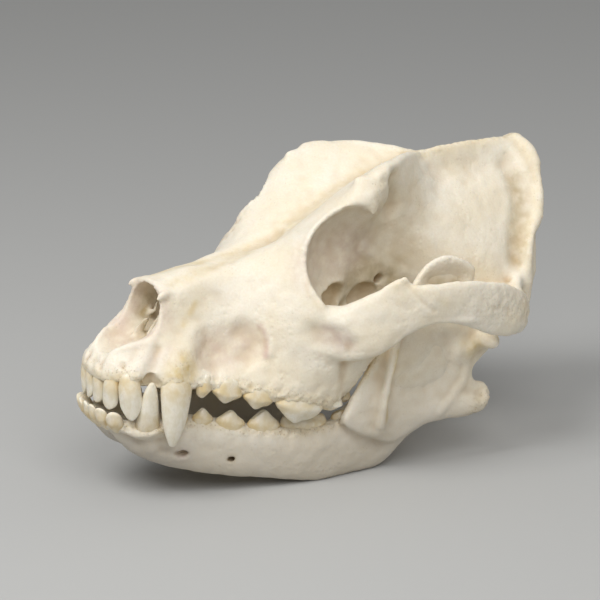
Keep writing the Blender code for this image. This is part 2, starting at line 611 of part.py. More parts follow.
# Incisors: neck place, tip place, width of the crown, its thickness.
UPPER_INCISORS = [
    ((3.8, -108.4, 60.5), (3.9, -111.2, 47.2), 7.2, 6.2),
    ((11.2, -106.6, 59.5), (12.2, -109.2, 45.8), 7.8, 7.0),
    ((18.8, -102.6, 59.0), (22.6, -102.0, 41.6), 9.0, 7.0),
]
LOWER_INCISORS = [
    ((2.7, -111.0, 40.0), (2.8, -114.2, 46.8), 5.2, 4.6),
    ((8.3, -110.0, 40.0), (9.0, -113.4, 46.6), 5.8, 5.0),
    ((14.4, -107.2, 39.6), (16.4, -110.6, 46.2), 7.0, 5.6),
]
INCISOR_CUSPS = ((-0.6, 0.94), (0.0, 1.0), (0.6, 0.9))
INCISOR_ENDS = (0.78, 0.72, 0.5)
INCISOR_TURNS = (12, 36, 60)
INCISOR_ROOT = 6.0

# Canines, root to tip: x, y, z, half width across, half width front to back.
UPPER_CANINE = [
    (24.5, -78.0, 69.0, 3.8, 5.6), (27.0, -82.4, 58.0, 5.0, 7.5), (28.4, -83.8, 50.0, 4.8, 7.0),
    (29.0, -85.0, 42.0, 4.1, 5.9), (29.2, -85.8, 35.0, 3.0, 4.0), (29.0, -86.2, 30.2, 1.5, 1.9),
]
LOWER_CANINE = [
    (17.5, -91.5, 24.0, 3.2, 4.2), (19.8, -94.0, 34.0, 4.6, 6.2), (21.4, -94.4, 42.0, 4.1, 5.2),
    (22.8, -94.2, 50.0, 3.4, 4.2), (23.8, -93.8, 56.0, 2.2, 2.8), (24.2, -93.6, 58.6, 1.2, 1.5),
]


def row_place(row, y):
    """The neck of a row at y, and the row's direction there."""
    path = smooth_path(row, 6)
    k = min(range(1, len(path) - 1), key=lambda i: abs(path[i][1] - y))
    before, after = Vector(path[k - 1]), Vector(path[k + 1])
    share = (y - before.y) / (after.y - before.y)
    return before.lerp(after, share), (after - before).normalized()


def crown(name, neck, along, axis, length, width, height, cusps, root, ends=0.22, grinding=False):
    """One tooth: a root ring, the neck, the belly and the edge, whose height follows the cusps."""
    axis = (axis - along * axis.dot(along)).normalized()
    across = along.cross(axis).normalized()
    side = [(-1.0, ends, 0.0)] + [(u, h, math.sqrt(1 - u * u * 0.85)) for u, h in cusps] + [(1.0, ends, 0.0)]
    back = [(u, h * (0.8 if grinding else 1.0), -v) for u, h, v in reversed(side[1:-1])]
    top_width = 0.62 if grinding else 0.13
    levels = (
        (-root, 0.0, 0.6, 0.55),
        (0.0, 0.0, 0.94, 0.88),
        (0.0, 0.42, 1.0, 1.0),
        (0.0, 1.0, 0.86, top_width),
    )
    rings = []
    for sunk, rise, long_share, wide_share in levels:
        ring = []
        for u, h, v in side + back:
            place = neck + along * u * long_share * length / 2 + across * v * wide_share * width / 2
            ring.append(place + axis * (sunk + rise * h * height))
        rings.append(ring)
    return skin_rings(name, rings)


def cheek_teeth(row, teeth, axis, side):
    made = []
    for name, (y, length, width, height, cusps) in teeth.items():
        neck, along = row_place(row, y)
        neck.x, along.x = neck.x * side, along.x * side
        grinding = name in MOLARS
        made.append(crown(name, neck, along, Vector(axis), length, width, height, cusps, CHEEK_ROOT,
                          ends=0.45 if grinding else 0.22, grinding=grinding))
    return made


def incisors(teeth, side):
    made = []
    for i, (neck, tip, width, thickness) in enumerate(teeth):
        neck, tip = Vector(neck), Vector(tip)
        turn = math.radians(INCISOR_TURNS[i])
        along = Vector((math.cos(turn), math.sin(turn), 0.0))
        neck.x, tip.x, along.x = neck.x * side, tip.x * side, along.x * side
        axis = (tip - neck).normalized()
        along = (along - axis * along.dot(axis)).normalized()
        made.append(crown("incisor", neck, along, axis, width, thickness, (tip - neck).length,
                          INCISOR_CUSPS, INCISOR_ROOT, ends=INCISOR_ENDS[i]))
    return made


def canine(stations, side):
    placed = [(x * side, y, z, wide, deep) for x, y, z, wide, deep in stations]
    return tube("canine", placed, up=(0, 1, 0), steps=1, sides=8)


# The seams between the bones, as planes with a small gap. Each is a place on it and the way it faces.
MUZZLE_SEAM = ((0, 0, 78), (0, 0.954, 0.301))
FOREHEAD_SEAM = ((0, 60.2, 100), (0, 1.0, 0.0))
OCCIPUT_SEAM = ((0, 101, 75), (0, 1.0, -0.2))
ARCH_FRONT_SEAM = ((47, -6, 72), (0.55, 0.73, 0.40))
ARCH_INNER_SEAM = ((39, 60, 75), (1.0, 0.0, 0.0))
ARCH_REAR_SEAM = ((44, 98, 75), (0.0, -1.0, 0.0))
ARCH_TOP_SEAM = ((44, 40, 112), (0.0, 0.0, -1.0))
REACH = 400.0


def region(name, planes, shift, side=1):
    """The space in front of all the planes, each moved by shift along its own way."""
    bm = bmesh.new()
    bmesh.ops.create_cube(bm, size=REACH)
    for place, way in planes:
        place, way = Vector(place), Vector(way).normalized()
        place.x, way.x = place.x * side, way.x * side
        cut = bmesh.ops.bisect_plane(bm, geom=bm.verts[:] + bm.edges[:] + bm.faces[:], dist=1e-5,
                                     plane_co=place + way * shift, plane_no=way, clear_inner=True)
        rim = [item for item in cut["geom_cut"] if isinstance(item, bmesh.types.BMEdge)]
        bmesh.ops.contextual_create(bm, geom=rim)
    return mesh_object(name, bm)


def copy_of(piece, name):
    made = bpy.data.objects.new(name, piece.data.copy())
    bpy.context.collection.objects.link(made)
    return made


def arch_region(name, side, shift):
    planes = [ARCH_FRONT_SEAM, ARCH_INNER_SEAM, ARCH_REAR_SEAM, ARCH_TOP_SEAM]
    return region(name, planes, shift, side)


def ahead_of(seam):
    place, way = seam
    return place, tuple(-value for value in way)


def divide(bone):
    """The whole cranium parted at its seams: muzzle, forehead, braincase, occiput and the two arches."""
    parts = []
    for name, side in (("zygomatic_arch_left", 1), ("zygomatic_arch_right", -1)):
        arch = copy_of(bone, name)
        boolean(arch, [arch_region("arch_space", side, SEAM_GAP / 2)], "INTERSECT")
        parts.append(arch)
    rooms = {
        "muzzle": [ahead_of(MUZZLE_SEAM)],
        "forehead": [MUZZLE_SEAM, ahead_of(FOREHEAD_SEAM)],
        "braincase": [FOREHEAD_SEAM, ahead_of(OCCIPUT_SEAM)],
        "occiput": [OCCIPUT_SEAM],
    }
    for name, planes in rooms.items():
        part = copy_of(bone, name)
        boolean(part, [region("room", planes, SEAM_GAP / 2)], "INTERSECT")
        boolean(part, [arch_region("arch_space", side, -SEAM_GAP / 2) for side in (1, -1)], "DIFFERENCE")
        parts.append(part)
    remove([bone])
    for part in parts:
        largest_only(part)
    return parts


def bone_material():
    material = bpy.data.materials.new("bone")
    material.use_nodes = True
    shader = material.node_tree.nodes["Principled BSDF"]
    shader.inputs["Base Color"].default_value = BONE_COLOUR
    shader.inputs["Roughness"].default_value = BONE_ROUGHNESS
    shader.inputs["Metallic"].default_value = 0.0
    return material


def main():
    for old in list(bpy.data.objects):
        bpy.data.objects.remove(old)
    whole = cranium()
    thin_out(whole, CRANIUM_TRIANGLES)
    parts = {part.name: part for part in divide(whole)}
    upper = []
    for side in (1, -1):
        upper += cheek_teeth(UPPER_ROW, UPPER_CHEEK, UPPER_AXIS, side)
        upper += incisors(UPPER_INCISORS, side)
        upper.append(canine(UPPER_CANINE, side))
    boolean(parts["muzzle"], upper, "UNION")
    for side, name in ((1, "mandible_left"), (-1, "mandible_right")):
        jaw = lower_jaw(name, side)
        lower = cheek_teeth(LOWER_ROW, LOWER_CHEEK, LOWER_AXIS, side)
        lower += incisors(LOWER_INCISORS, side)
        lower.append(canine(LOWER_CANINE, side))
        boolean(jaw, lower, "UNION")
        parts[name] = jaw
    bone = bone_material()
    for part in parts.values():
        largest_only(part)
        part.data.transform(Matrix.Translation((0, -MIDDLE_Y * MM, 0)))
        part.data.materials.clear()
        part.data.materials.append(bone)


main()
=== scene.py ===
# %% [markdown]
# This is the skull of a large dog with its lower jaw closed, as it stands on a shelf. Dry bone is ivory and
# matt, full of fine pores, and the teeth are smoother and a little glossy. The solids of the model are loaded
# first, because every piece below takes their place and has to stay inside their box.

# %% Load the frame
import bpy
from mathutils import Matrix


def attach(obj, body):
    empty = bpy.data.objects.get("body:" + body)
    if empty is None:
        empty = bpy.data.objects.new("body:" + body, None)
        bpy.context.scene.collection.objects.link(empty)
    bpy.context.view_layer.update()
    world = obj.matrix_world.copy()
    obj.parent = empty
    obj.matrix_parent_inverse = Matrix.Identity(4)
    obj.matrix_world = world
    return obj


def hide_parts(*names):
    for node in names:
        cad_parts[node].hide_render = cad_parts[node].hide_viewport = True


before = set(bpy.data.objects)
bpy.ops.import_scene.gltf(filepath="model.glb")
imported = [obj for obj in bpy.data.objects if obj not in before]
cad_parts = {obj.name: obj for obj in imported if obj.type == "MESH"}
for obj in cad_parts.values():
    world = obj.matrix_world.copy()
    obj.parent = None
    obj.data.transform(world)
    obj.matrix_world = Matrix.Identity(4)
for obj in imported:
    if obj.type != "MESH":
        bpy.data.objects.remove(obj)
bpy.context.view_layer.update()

# %% [markdown]
# A skull is measured in millimetres, and Blender works in metres, so the places below are written in
# millimetres and turned once a mesh is made. The muzzle points to -Y, the animal's left is +X and up is +Z.
# The places are written from a point a little in front of the middle, and moved there at the end.

# %% Units and smooth curves
import math

import bmesh
import bpy
import numpy as np
from mathutils import Matrix, Vector, noise
from mathutils.bvhtree import BVHTree
from mathutils.kdtree import KDTree

MM = 0.001
MIDDLE_Y = 7.5


def between(before, start, end, after, t):
    """One place on a Catmull-Rom span, for tuples of any equal length."""
    return tuple(
        0.5 * (2 * b + (c - a) * t + (2 * a - 5 * b + 4 * c - d) * t * t
               + (3 * b - a - 3 * c + d) * t ** 3)
        for a, b, c, d in zip(before, start, end, after))


def smooth_path(points, steps, closed=False):
    """The points with steps - 1 more between each two, on a smooth curve."""
    count = len(points)
    found = []
    for i in range(count if closed else count - 1):
        if closed:
            span = [points[(i + k) % count] for k in (-1, 0, 1, 2)]
        else:
            span = [points[min(max(i + k, 0), count - 1)] for k in (-1, 0, 1, 2)]
        found += [between(*span, k / steps) for k in range(steps)]
    if not closed:
        found.append(tuple(points[-1]))
    return found


def mirrored(points):
    return [(-p[0],) + tuple(p[1:]) for p in points]


print("one unit of the places below is", MM, "m")

# %% [markdown]
# The camera stands where the photographer stood: at the animal's left, well in front, and a little above.
# A long lens from about a metre away flattens the skull gently, as it does in the picture. The view is given
# by a turn and a rise about the middle of the skull, which are easier to match than a bare position.

# %% Camera
def linked(name, data):
    """A new object in the scene."""
    made = bpy.data.objects.new(name, data)
    bpy.context.collection.objects.link(made)
    return made


CAMERA_TURN = 58.0
CAMERA_RISE = 17.0
CAMERA_DISTANCE = 1.1
CAMERA_LENS = 138.6
SENSOR_WIDTH = 36.0
AIM = Vector((0.0, -0.0075, 0.077))


def axes_towards(turn, rise):
    """The way back from the aim to a viewer, and the viewer's right and up."""
    turn, rise = math.radians(turn), math.radians(rise)
    back = Vector((math.sin(turn) * math.cos(rise), -math.cos(turn) * math.cos(rise), math.sin(rise)))
    right = Vector((math.cos(turn), math.sin(turn), 0.0))
    return back, right, back.cross(right)


back, right, up = axes_towards(CAMERA_TURN, CAMERA_RISE)
lens = bpy.data.cameras.new("photo_camera")
lens.lens = CAMERA_LENS
lens.sensor_width = SENSOR_WIDTH
camera = linked("photo_camera", lens)
facing = Matrix((right, up, back)).transposed().to_4x4()
camera.matrix_world = Matrix.Translation(AIM + back * CAMERA_DISTANCE) @ facing
bpy.context.scene.camera = camera
print("camera at", [round(value, 3) for value in camera.location])

# %% [markdown]
# Bone has no flat faces and no sharp joins, so it is built as a sculptor builds with clay: simple closed
# forms are laid over each other, melted into one skin, and smoothed. Three kinds of form are enough. A lofted
# solid goes through outlines, a tube follows a path, and a plate is a thin sheet with a drawn edge.

# %% Closed forms
def freed(name, bm):
    """Turns a bmesh into an object and frees it."""
    mesh = bpy.data.meshes.new(name)
    bm.to_mesh(mesh)
    bm.free()
    return linked(name, mesh)


def mesh_object(name, bm):
    """Ends a mesh made in millimetres, with its faces out and in metres."""
    bmesh.ops.recalc_face_normals(bm, faces=bm.faces)
    bmesh.ops.scale(bm, vec=(MM, MM, MM), verts=bm.verts)
    return freed(name, bm)


def skin_rings(name, rings):
    """A closed solid through rings of places, each ring with the same count."""
    bm = bmesh.new()
    edge_loops = []
    for ring in rings:
        circle = bmesh.ops.create_circle(bm, segments=len(ring), radius=1.0)["verts"]
        for vert, place in zip(circle, ring):
            vert.co = Vector(place)
        edges = {edge for vert in circle for edge in vert.link_edges}
        edge_loops.append(list(edges))
    for first, second in zip(edge_loops, edge_loops[1:]):
        bmesh.ops.bridge_loops(bm, edges=first + second)
    for end in (edge_loops[0], edge_loops[-1]):
        bmesh.ops.contextual_create(bm, geom=end)
    return mesh_object(name, bm)


def section_solid(name, sections, steps=3, round_steps=3):
    """A solid across the midplane. Each section is y and the half outline (x, z) from roof to floor."""
    flat = [(y,) + tuple(value for point in outline for value in point) for y, outline in sections]
    rings = []
    for row in smooth_path(flat, steps):
        y = row[0]
        half = [(row[i], row[i + 1]) for i in range(1, len(row), 2)]
        whole = half + [(-x, z) for x, z in reversed(half[1:-1])]
        rings.append([(x, y, z) for x, z in smooth_path(whole, round_steps, closed=True)])
    return skin_rings(name, rings)


print("3 places and 4 steps make a curve of", len(smooth_path([(0, 0), (1, 1), (2, 0)], 4)), "places")

# %% Tubes, balls and plates
# How far the round ends of a tube reach past its path, and their size there, as shares of its half width.
CAP_STEPS = ((0.75, 0.55), (0.35, 0.85))


def tube(name, stations, up=(0, 0, 1), steps=3, sides=16, squareness=2.0):
    """A solid along a path. Each station is x, y, z, half width across and half height along up."""
    path = smooth_path(stations, steps)
    places = [Vector(p[:3]) for p in path]
    rings = []
    up = Vector(up)
    for i, (place, station) in enumerate(zip(places, path)):
        ahead = places[min(i + 1, len(places) - 1)] - places[max(i - 1, 0)]
        across = ahead.cross(up).normalized()
        over = across.cross(ahead).normalized()
        wide, high = station[3], station[4]
        rows = [(0.0, 1.0)]
        if i == 0:
            rows = [(-shift, size) for shift, size in CAP_STEPS] + rows
        if i == len(places) - 1:
            rows = rows + [(shift, size) for shift, size in reversed(CAP_STEPS)]
        for shift, size in rows:
            centre = place + ahead.normalized() * min(wide, high) * shift
            ring = []
            for k in range(sides):
                angle = 2 * math.pi * k / sides
                c, s = math.cos(angle), math.sin(angle)
                c = math.copysign(abs(c) ** (2 / squareness), c)
                s = math.copysign(abs(s) ** (2 / squareness), s)
                ring.append(centre + across * wide * size * c + over * high * size * s)
            rings.append(ring)
    return skin_rings(name, rings)


def ball(name, place, radii):
    bm = bmesh.new()
    bmesh.ops.create_icosphere(bm, subdivisions=4, radius=1.0)
    bm.transform(Matrix.Translation(Vector(place)) @ Matrix.Diagonal((*radii, 1.0)))
    return mesh_object(name, bm)


def plate(name, outline, lean, thickness, steps=4):
    """A flat bone whose outline is (y, z). lean gives the x of its middle, thickness its full width there."""
    edge = smooth_path(outline, steps, closed=True)
    bm = bmesh.new()
    rim = [bm.verts.new((0.0, y, z)) for y, z in edge]
    face = bm.faces.new(rim)
    side = bmesh.ops.extrude_face_region(bm, geom=[face])
    outer = [item for item in side["geom"] if isinstance(item, bmesh.types.BMVert)]
    for verts, sign in ((rim, -0.5), (outer, 0.5)):
        for vert in verts:
            y, z = vert.co.y, vert.co.z
            vert.co.x = lean(y, z) + sign * thickness(y, z)
    return mesh_object(name, bm)


def both_sides(make, name, stations, **settings):
    """The same piece on the left and the right."""
    return [make(name + "_left", stations, **settings), make(name + "_right", mirrored(stations), **settings)]


print("forms ready: section_solid, tube, ball, plate")

# %% [markdown]
# Melting is the voxel remesh: it throws a fine grid over the overlapping shells and keeps only the outer
# skin, with quads of one size. A few rounds of smoothing then soften the joins like fillets. Holes are cut
# with a Boolean, which is quick and sure on such closed skins.

# %% Melting and cutting
def apply_modifier(piece, kind, **settings):
    modifier = piece.modifiers.new(kind.lower(), kind)
    for key, value in settings.items():
        setattr(modifier, key, value)
    graph = bpy.context.evaluated_depsgraph_get()
    mesh = bpy.data.meshes.new_from_object(piece.evaluated_get(graph))
    piece.modifiers.clear()
    old = piece.data
    piece.data = mesh
    mesh.name = piece.name
    bpy.data.meshes.remove(old)


def remove(pieces):
    for piece in pieces:
        mesh = piece.data
        bpy.data.objects.remove(piece)
        bpy.data.meshes.remove(mesh)


def boolean(piece, others, operation):
    """Joins or cuts with all the others at once, and removes them."""
    group = bpy.data.collections.new("tools")
    bpy.context.scene.collection.children.link(group)
    for other in others:
        group.objects.link(other)
    apply_modifier(piece, "BOOLEAN", operand_type="COLLECTION", collection=group,
                   operation=operation, solver="MANIFOLD")
    bpy.data.collections.remove(group)
    remove(others)


def join(name, pieces):
    """All the pieces' faces in one mesh, still overlapping."""
    bm = bmesh.new()
    for piece in pieces:
        bm.from_mesh(piece.data)
    remove(pieces)
    return freed(name, bm)


def melt(piece, voxel, smoothing):
    """Fuses overlapping shells into one surface and softens it by some rounds."""
    apply_modifier(piece, "REMESH", mode="VOXEL", voxel_size=voxel * MM, adaptivity=0.0)
    apply_modifier(piece, "SMOOTH", factor=0.5, iterations=smoothing)
    print(piece.name, "melted at", voxel, "mm:", len(piece.data.polygons), "faces")


# %% [markdown]
# The heavy part of the cranium is a snout, a forehead with two domes over the sinuses, and a braincase with a
# tall crest where the jaw muscles were anchored. Each is lofted through a few half outlines, because a skull
# is a mirror image of itself and its width and height change slowly along its length.

# %% Outlines of the snout
# Half outlines (x, z): roof, roof edge, upper side, side, cheek, tooth line, ridge, palate side, palate.
SNOUT = [
    (-112.3, [(0, 65), (4, 65), (7, 64.5), (9.5, 63.5), (11, 62), (10, 60), (6, 59), (3, 58.5), (0, 58.5)]),
    (-108.5, [(0, 69.5), (5.5, 69.5), (8.5, 68), (12.5, 66), (15.5, 63), (15, 60), (10, 58),
              (5, 58), (0, 58.5)]),
    (-104.0, [(0, 75), (7, 75), (10.5, 72), (14, 69), (19.4, 64), (19.8, 60), (13, 57), (7, 57.5),
              (0, 58.5)]),
    (-98.5, [(0, 83), (9.5, 82.5), (12.5, 77.5), (16, 72), (22.2, 65.5), (23.6, 60), (17, 56),
             (9, 58), (0, 60)]),
    (-94.0, [(0, 89), (11, 88), (13.7, 81.5), (17.8, 74), (23.8, 66), (26, 58.5), (18.5, 56),
             (11, 58), (0, 60)]),
    (-89.0, [(0, 96), (12, 94), (15, 86), (20, 76), (26.5, 66), (28.5, 58), (21, 55.5), (13, 59), (0, 61)]),
    (-83.0, [(0, 99.6), (11.8, 97.2), (15.5, 89), (20.5, 78), (28.5, 68), (31, 57.5), (23, 55),
             (15, 59.5), (0, 62)]),
    (-76.0, [(0, 100.5), (12.5, 98.5), (16, 89), (20, 79), (27, 68), (31, 56.5), (24, 54),
             (17, 58.5), (0, 61)]),
    (-66.0, [(0, 102), (12, 100), (16, 90), (20, 79), (26, 67), (32, 54), (25, 52), (19, 57), (0, 60)]),
    (-52.0, [(0, 103), (11.5, 101.3), (17, 92), (22, 80), (28.5, 66), (34, 50), (28, 48),
             (22, 54), (0, 57.5)]),
    (-40.0, [(0, 104.5), (12.5, 103.5), (21, 95), (28, 84), (34, 68), (38.5, 46.5), (31.5, 44.8),
             (25, 51), (0, 54.5)]),
    (-28.0, [(0, 107), (15, 107.5), (28, 101), (37, 90), (42, 72), (43, 43), (35, 41), (28, 48), (0, 51.5)]),
    (-18.0, [(0, 111), (20, 112.5), (35, 106), (45, 93), (48.5, 77), (44, 41), (35.5, 39),
             (28, 46), (0, 49)]),
    (-8.0, [(0, 115), (20, 117), (34, 110), (44, 95), (50, 78), (43.5, 39.5), (30, 37.2), (24, 43), (0, 47)]),
    (2.0, [(0, 118), (20, 119), (27, 110), (34, 98), (38, 80), (37, 42), (28, 37.2), (22, 42), (0, 46)]),
    (10.0, [(0, 118), (18, 117), (22, 108), (25, 96), (27, 78), (28, 54), (24, 46), (18, 47), (0, 52)]),
]
print("the snout goes through", len(SNOUT), "outlines")

# %% Outlines of the forehead and the braincase
# Roof in the middle furrow, dome, shoulder, brow edge, wall, low wall, floor.
FOREHEAD = [
    (-24.0, [(0, 106.5), (10, 108), (18, 108), (24, 104), (20, 94), (15, 75), (0, 66)]),
    (-12.0, [(0, 112.5), (16, 117), (28, 119.5), (35.5, 115.5), (25, 97), (18, 75), (0, 60)]),
    (-5.0, [(0, 117), (18, 122.5), (29, 124.5), (35, 121.5), (25, 101), (18, 76), (0, 59)]),
    (2.0, [(0, 121), (20, 128), (31, 130.5), (36, 126), (25, 105), (18, 78), (0, 58)]),
    (9.0, [(0, 125), (23, 134), (33, 137), (38, 129), (23, 109), (18, 82), (0, 57)]),
    (17.0, [(0, 129), (26, 140.5), (34, 140.5), (39, 128), (20, 110), (17, 84), (0, 57)]),
    (26.0, [(0, 132), (27, 145.6), (33, 142.4), (33, 131), (19, 112), (17, 86), (0, 58)]),
    (37.0, [(0, 135.8), (22, 146.1), (27.5, 142), (26.5, 131), (18, 113), (17, 86), (0, 58)]),
    (50.0, [(0, 139), (13.5, 145), (18.5, 138.5), (19, 127), (18.5, 112), (19, 88), (0, 58)]),
    (62.0, [(0, 141), (6, 142.3), (10.5, 134), (15, 124), (20, 112), (23, 90), (0, 60)]),
    (70.0, [(0, 138), (2.5, 137), (8, 130), (15, 121), (22, 112), (26, 92), (0, 62)]),
]

# Crest, crest side, crest foot, shoulder, widest, low side, floor.
BRAINCASE = [
    (36.0, [(0, 132), (3, 131), (6, 127), (11, 122), (16, 100), (14, 70), (0, 58)]),
    (48.0, [(0, 136), (2.5, 135), (6, 129), (13, 121), (20, 100), (18, 70), (0, 57)]),
    (58.0, [(0, 141.5), (2.6, 140), (6, 131), (15, 120), (26, 98), (23, 68), (0, 56)]),
    (72.0, [(0, 142.8), (2.2, 141), (5.5, 131), (17, 120), (32, 95), (28, 68), (0, 56)]),
    (88.0, [(0, 143.2), (2.2, 141.5), (5.5, 130), (18, 119), (34, 93), (31, 68), (0, 57)]),
    (100.0, [(0, 143.5), (2.4, 142), (6, 130), (18, 118), (33, 94), (34, 68), (0, 58)]),
    (110.0, [(0, 143.5), (2.8, 142), (7, 131), (18, 118), (32, 98), (36, 72), (0, 59)]),
    (117.0, [(0, 143), (3.2, 141.5), (9, 132), (19, 118), (29, 102), (28, 76), (0, 60)]),
    (122.5, [(0, 142), (5, 140), (13, 131), (20, 118), (25, 108), (17, 88), (0, 66)]),
    (126.5, [(0, 141), (7.5, 139), (14.5, 130), (19, 121), (16, 108), (11, 96), (0, 92)]),
    (129.5, [(0, 139), (7, 137), (12.5, 130), (13, 123), (8, 116), (4, 113), (0, 112)]),
]
print("forehead and braincase go through", len(FOREHEAD), "and", len(BRAINCASE), "outlines")

# %% Heavy forms of the cranium
# Paths of x, y, z, half width and half height.
SKULL_BASE = [(0, 20, 60, 9.0, 7.0), (0, 50, 60, 9.0, 6.0), (0, 80, 60, 11.0, 5.0), (0, 106, 60, 11.0, 5.0)]
CONDYLE = [
    (8, 113, 57, 5.0, 5.0), (14, 117.5, 62, 6.0, 6.5), (16.5, 118, 70, 5.0, 6.5), (14, 116, 77, 3.5, 4.0),
]
HEAVY_VOXEL = 1.9
HEAVY_SMOOTHING = 6

cranium = join("cranium", [
    section_solid("snout", SNOUT),
    section_solid("forehead", FOREHEAD),
    section_solid("braincase_core", BRAINCASE),
    tube("base", SKULL_BASE),
    *both_sides(tube, "condyle", CONDYLE, up=(0, 1, 0)),
])
melt(cranium, HEAVY_VOXEL, HEAVY_SMOOTHING)

# %% [markdown]
# Each eye sits in a round hollow that the heavy forms leave open at the back, as in all dogs. It is cut now,
# before the cheek bone is laid round its lower rim, so that the rim and its peak stay whole.

# %% Eye sockets
EYE_SOCKET = ((45.5, 4, 105), (27.0, 24.5, 27.0))


def pair_of_balls(name, place, radii):
    x, y, z = place
    return [ball(name, (x * side, y, z), radii) for side in (1, -1)]


boolean(cranium, pair_of_balls("eye_socket", *EYE_SOCKET), "DIFFERENCE")
print("eye sockets", 2 * EYE_SOCKET[1][0], "mm wide")

# %% [markdown]
# The thin forms come after the heavy ones, because that much smoothing would eat them. The cheek bones sweep
# out and back to the ear, a hook over each eye held the eyelid's band, and a rough rim runs round the back of
# the head where the neck muscles were fixed.

# %% Thin forms of the cranium
ARCH = [
    (42, -14, 75, 8.0, 13.0), (50, -7, 75, 7.0, 13.4), (58, 1.5, 79.3, 5.0, 14.0), (64, 12, 86, 3.6, 12.6),
    (68.5, 26, 88.3, 3.2, 9.8), (70, 40, 87.6, 3.0, 10.2), (70, 54, 84.1, 3.0, 11.8),
    (67.5, 68, 78.6, 3.4, 12.8), (62, 81, 74.2, 4.6, 11.0), (53, 88, 71.5, 7.0, 9.5), (38, 88, 73, 10.0, 8.5),
]
CHEEK_FOOT = [(37, -9, 46, 6.0, 6.0), (41, -2, 51, 5.5, 6.5), (45.5, 1, 60, 6.0, 7.5), (52, 2, 71, 6.0, 8.5)]
CHEEK_TUBER = [
    (36, -4, 42, 4.0, 5.0), (39.5, 0.5, 46.5, 3.6, 5.0), (43, 3.8, 54, 3.6, 5.0), (47.5, 7.5, 63, 3.4, 5.0),
]
ARCH_PEAK = [
    (62.5, 11, 90, 2.8, 10.0), (64, 13.5, 96, 2.5, 8.0), (64.8, 14.6, 99.8, 2.1, 4.8),
    (65, 15, 102, 1.5, 2.0),
]
ARCH_ROOT_RIDGE = [
    (58, 84, 78, 2.5, 4.0), (48, 92, 78, 3.0, 4.0), (38, 100, 80, 3.0, 4.0), (37, 107, 79, 3.0, 5.0),
]
BROW_KNOB = [
    (31.0, 18, 139.5, 3.2, 8.0), (34.2, 16.4, 133.5, 3.2, 6.6), (36.4, 16.6, 128.5, 2.4, 4.0),
    (37.2, 17, 125.2, 1.4, 1.6),
]
GLENOID = [(34, 76, 68, 6.0, 5.0), (46, 75, 69, 7.0, 4.0), (58, 74, 70, 6.0, 4.0)]
GLENOID_STOP = [(38, 81, 66, 5.0, 3.0), (40, 81.5, 58, 6.0, 2.4), (41, 81, 53, 4.0, 1.6)]
NUCHAL_RIM = [
    (0, 125.5, 139.5), (8, 126.8, 137.5), (14, 127.6, 130), (18, 126.8, 122), (22.5, 123.8, 115),
    (26.5, 120.4, 108), (31.5, 112.2, 100.5), (35.6, 106.8, 89), (37, 106.2, 78), (35.5, 106.2, 69),
    (33, 105, 61),
]
NUCHAL_HALF_WIDTH = 2.6
NUCHAL_HALF_DEPTH = 3.1
PARACONDYLAR = [(30, 107, 64, 5.0, 7.0), (29, 108, 57, 3.2, 5.0), (27.5, 108.5, 51, 2.0, 3.2)]
BULLA = ((20, 87, 58), (10.5, 11.0, 10.5))
PTERYGOID = [
    (-4.0, 39.0), (2.0, 37.0), (12.0, 43.0), (24.0, 47.0), (34.0, 48.5), (40.0, 45.0),
    (43.0, 50.0), (44.0, 60.0), (30.0, 74.0), (8.0, 72.0), (-4.0, 60.0),
]
PTERYGOID_X = 13.5
PTERYGOID_THICKNESS = 3.4
SKIN_VOXEL = 1.25
SKIN_SMOOTHING = 3

nuchal_stations = [(x, y, z, NUCHAL_HALF_WIDTH, NUCHAL_HALF_DEPTH) for x, y, z in NUCHAL_RIM]
thin_forms = [
    *both_sides(tube, "arch", ARCH, squareness=2.6),
    *both_sides(tube, "arch_peak", ARCH_PEAK, up=(0.3, 1, 0)),
    *both_sides(tube, "cheek_foot", CHEEK_FOOT, up=(0, 1, 0)),
    *both_sides(tube, "cheek_tuber", CHEEK_TUBER, up=(0, 1, 0)),
    *both_sides(tube, "root_ridge", ARCH_ROOT_RIDGE),
    *both_sides(tube, "brow_knob", BROW_KNOB, up=(0, 1, 0.2)),
    *both_sides(tube, "glenoid", GLENOID),
    *both_sides(tube, "glenoid_stop", GLENOID_STOP, up=(0, 1, 0)),
    *both_sides(tube, "paracondylar", PARACONDYLAR, up=(0, 1, 0)),
    *both_sides(tube, "nuchal", nuchal_stations, up=(0, 1, 0.2)),
]
thin_forms += pair_of_balls("bulla", *BULLA)
for side in (1, -1):
    thin_forms.append(plate("pterygoid", PTERYGOID, lambda y, z, s=side: s * PTERYGOID_X,
                            lambda y, z: PTERYGOID_THICKNESS))
cranium = join("cranium", [cranium] + thin_forms)
melt(cranium, SKIN_VOXEL, SKIN_SMOOTHING)

# %% [markdown]
# Relief on bone is a set of strokes: a ridge where a tooth root pushes the wall out, a groove along a vein,
# a hollow where a muscle lay. One function does them all. It lays a path on the skin and moves the surface
# near it along its normals, out for a ridge and in for a hollow, fading softly to nothing at its radius.

# %% The skin as numbers
def co_and_normals(piece):
    """Places in millimetres and normals of a mesh, as arrays."""
    count = len(piece.data.vertices)
    places, normals = np.empty(count * 3), np.empty(count * 3)
    piece.data.vertices.foreach_get("co", places)
    piece.data.vertices.foreach_get("normal", normals)
    return places.reshape(-1, 3) / MM, normals.reshape(-1, 3)


def move_skin(piece, places):
    """Sets the vertices to places in millimetres."""
    piece.data.vertices.foreach_set("co", (places * MM).ravel())
    piece.data.update()


def skin_of(piece):
    return BVHTree.FromObject(piece, bpy.context.evaluated_depsgraph_get())


def laid_on(skin, path, steps=4):
    """A smooth path through the points, each moved to the nearest place on the skin."""
    points = smooth_path(path, steps) if len(path) > 1 else path
    if skin is None:
        return [Vector(p[:3]) for p in points]
    return [skin.find_nearest(Vector(p[:3]) * MM)[0] / MM for p in points]


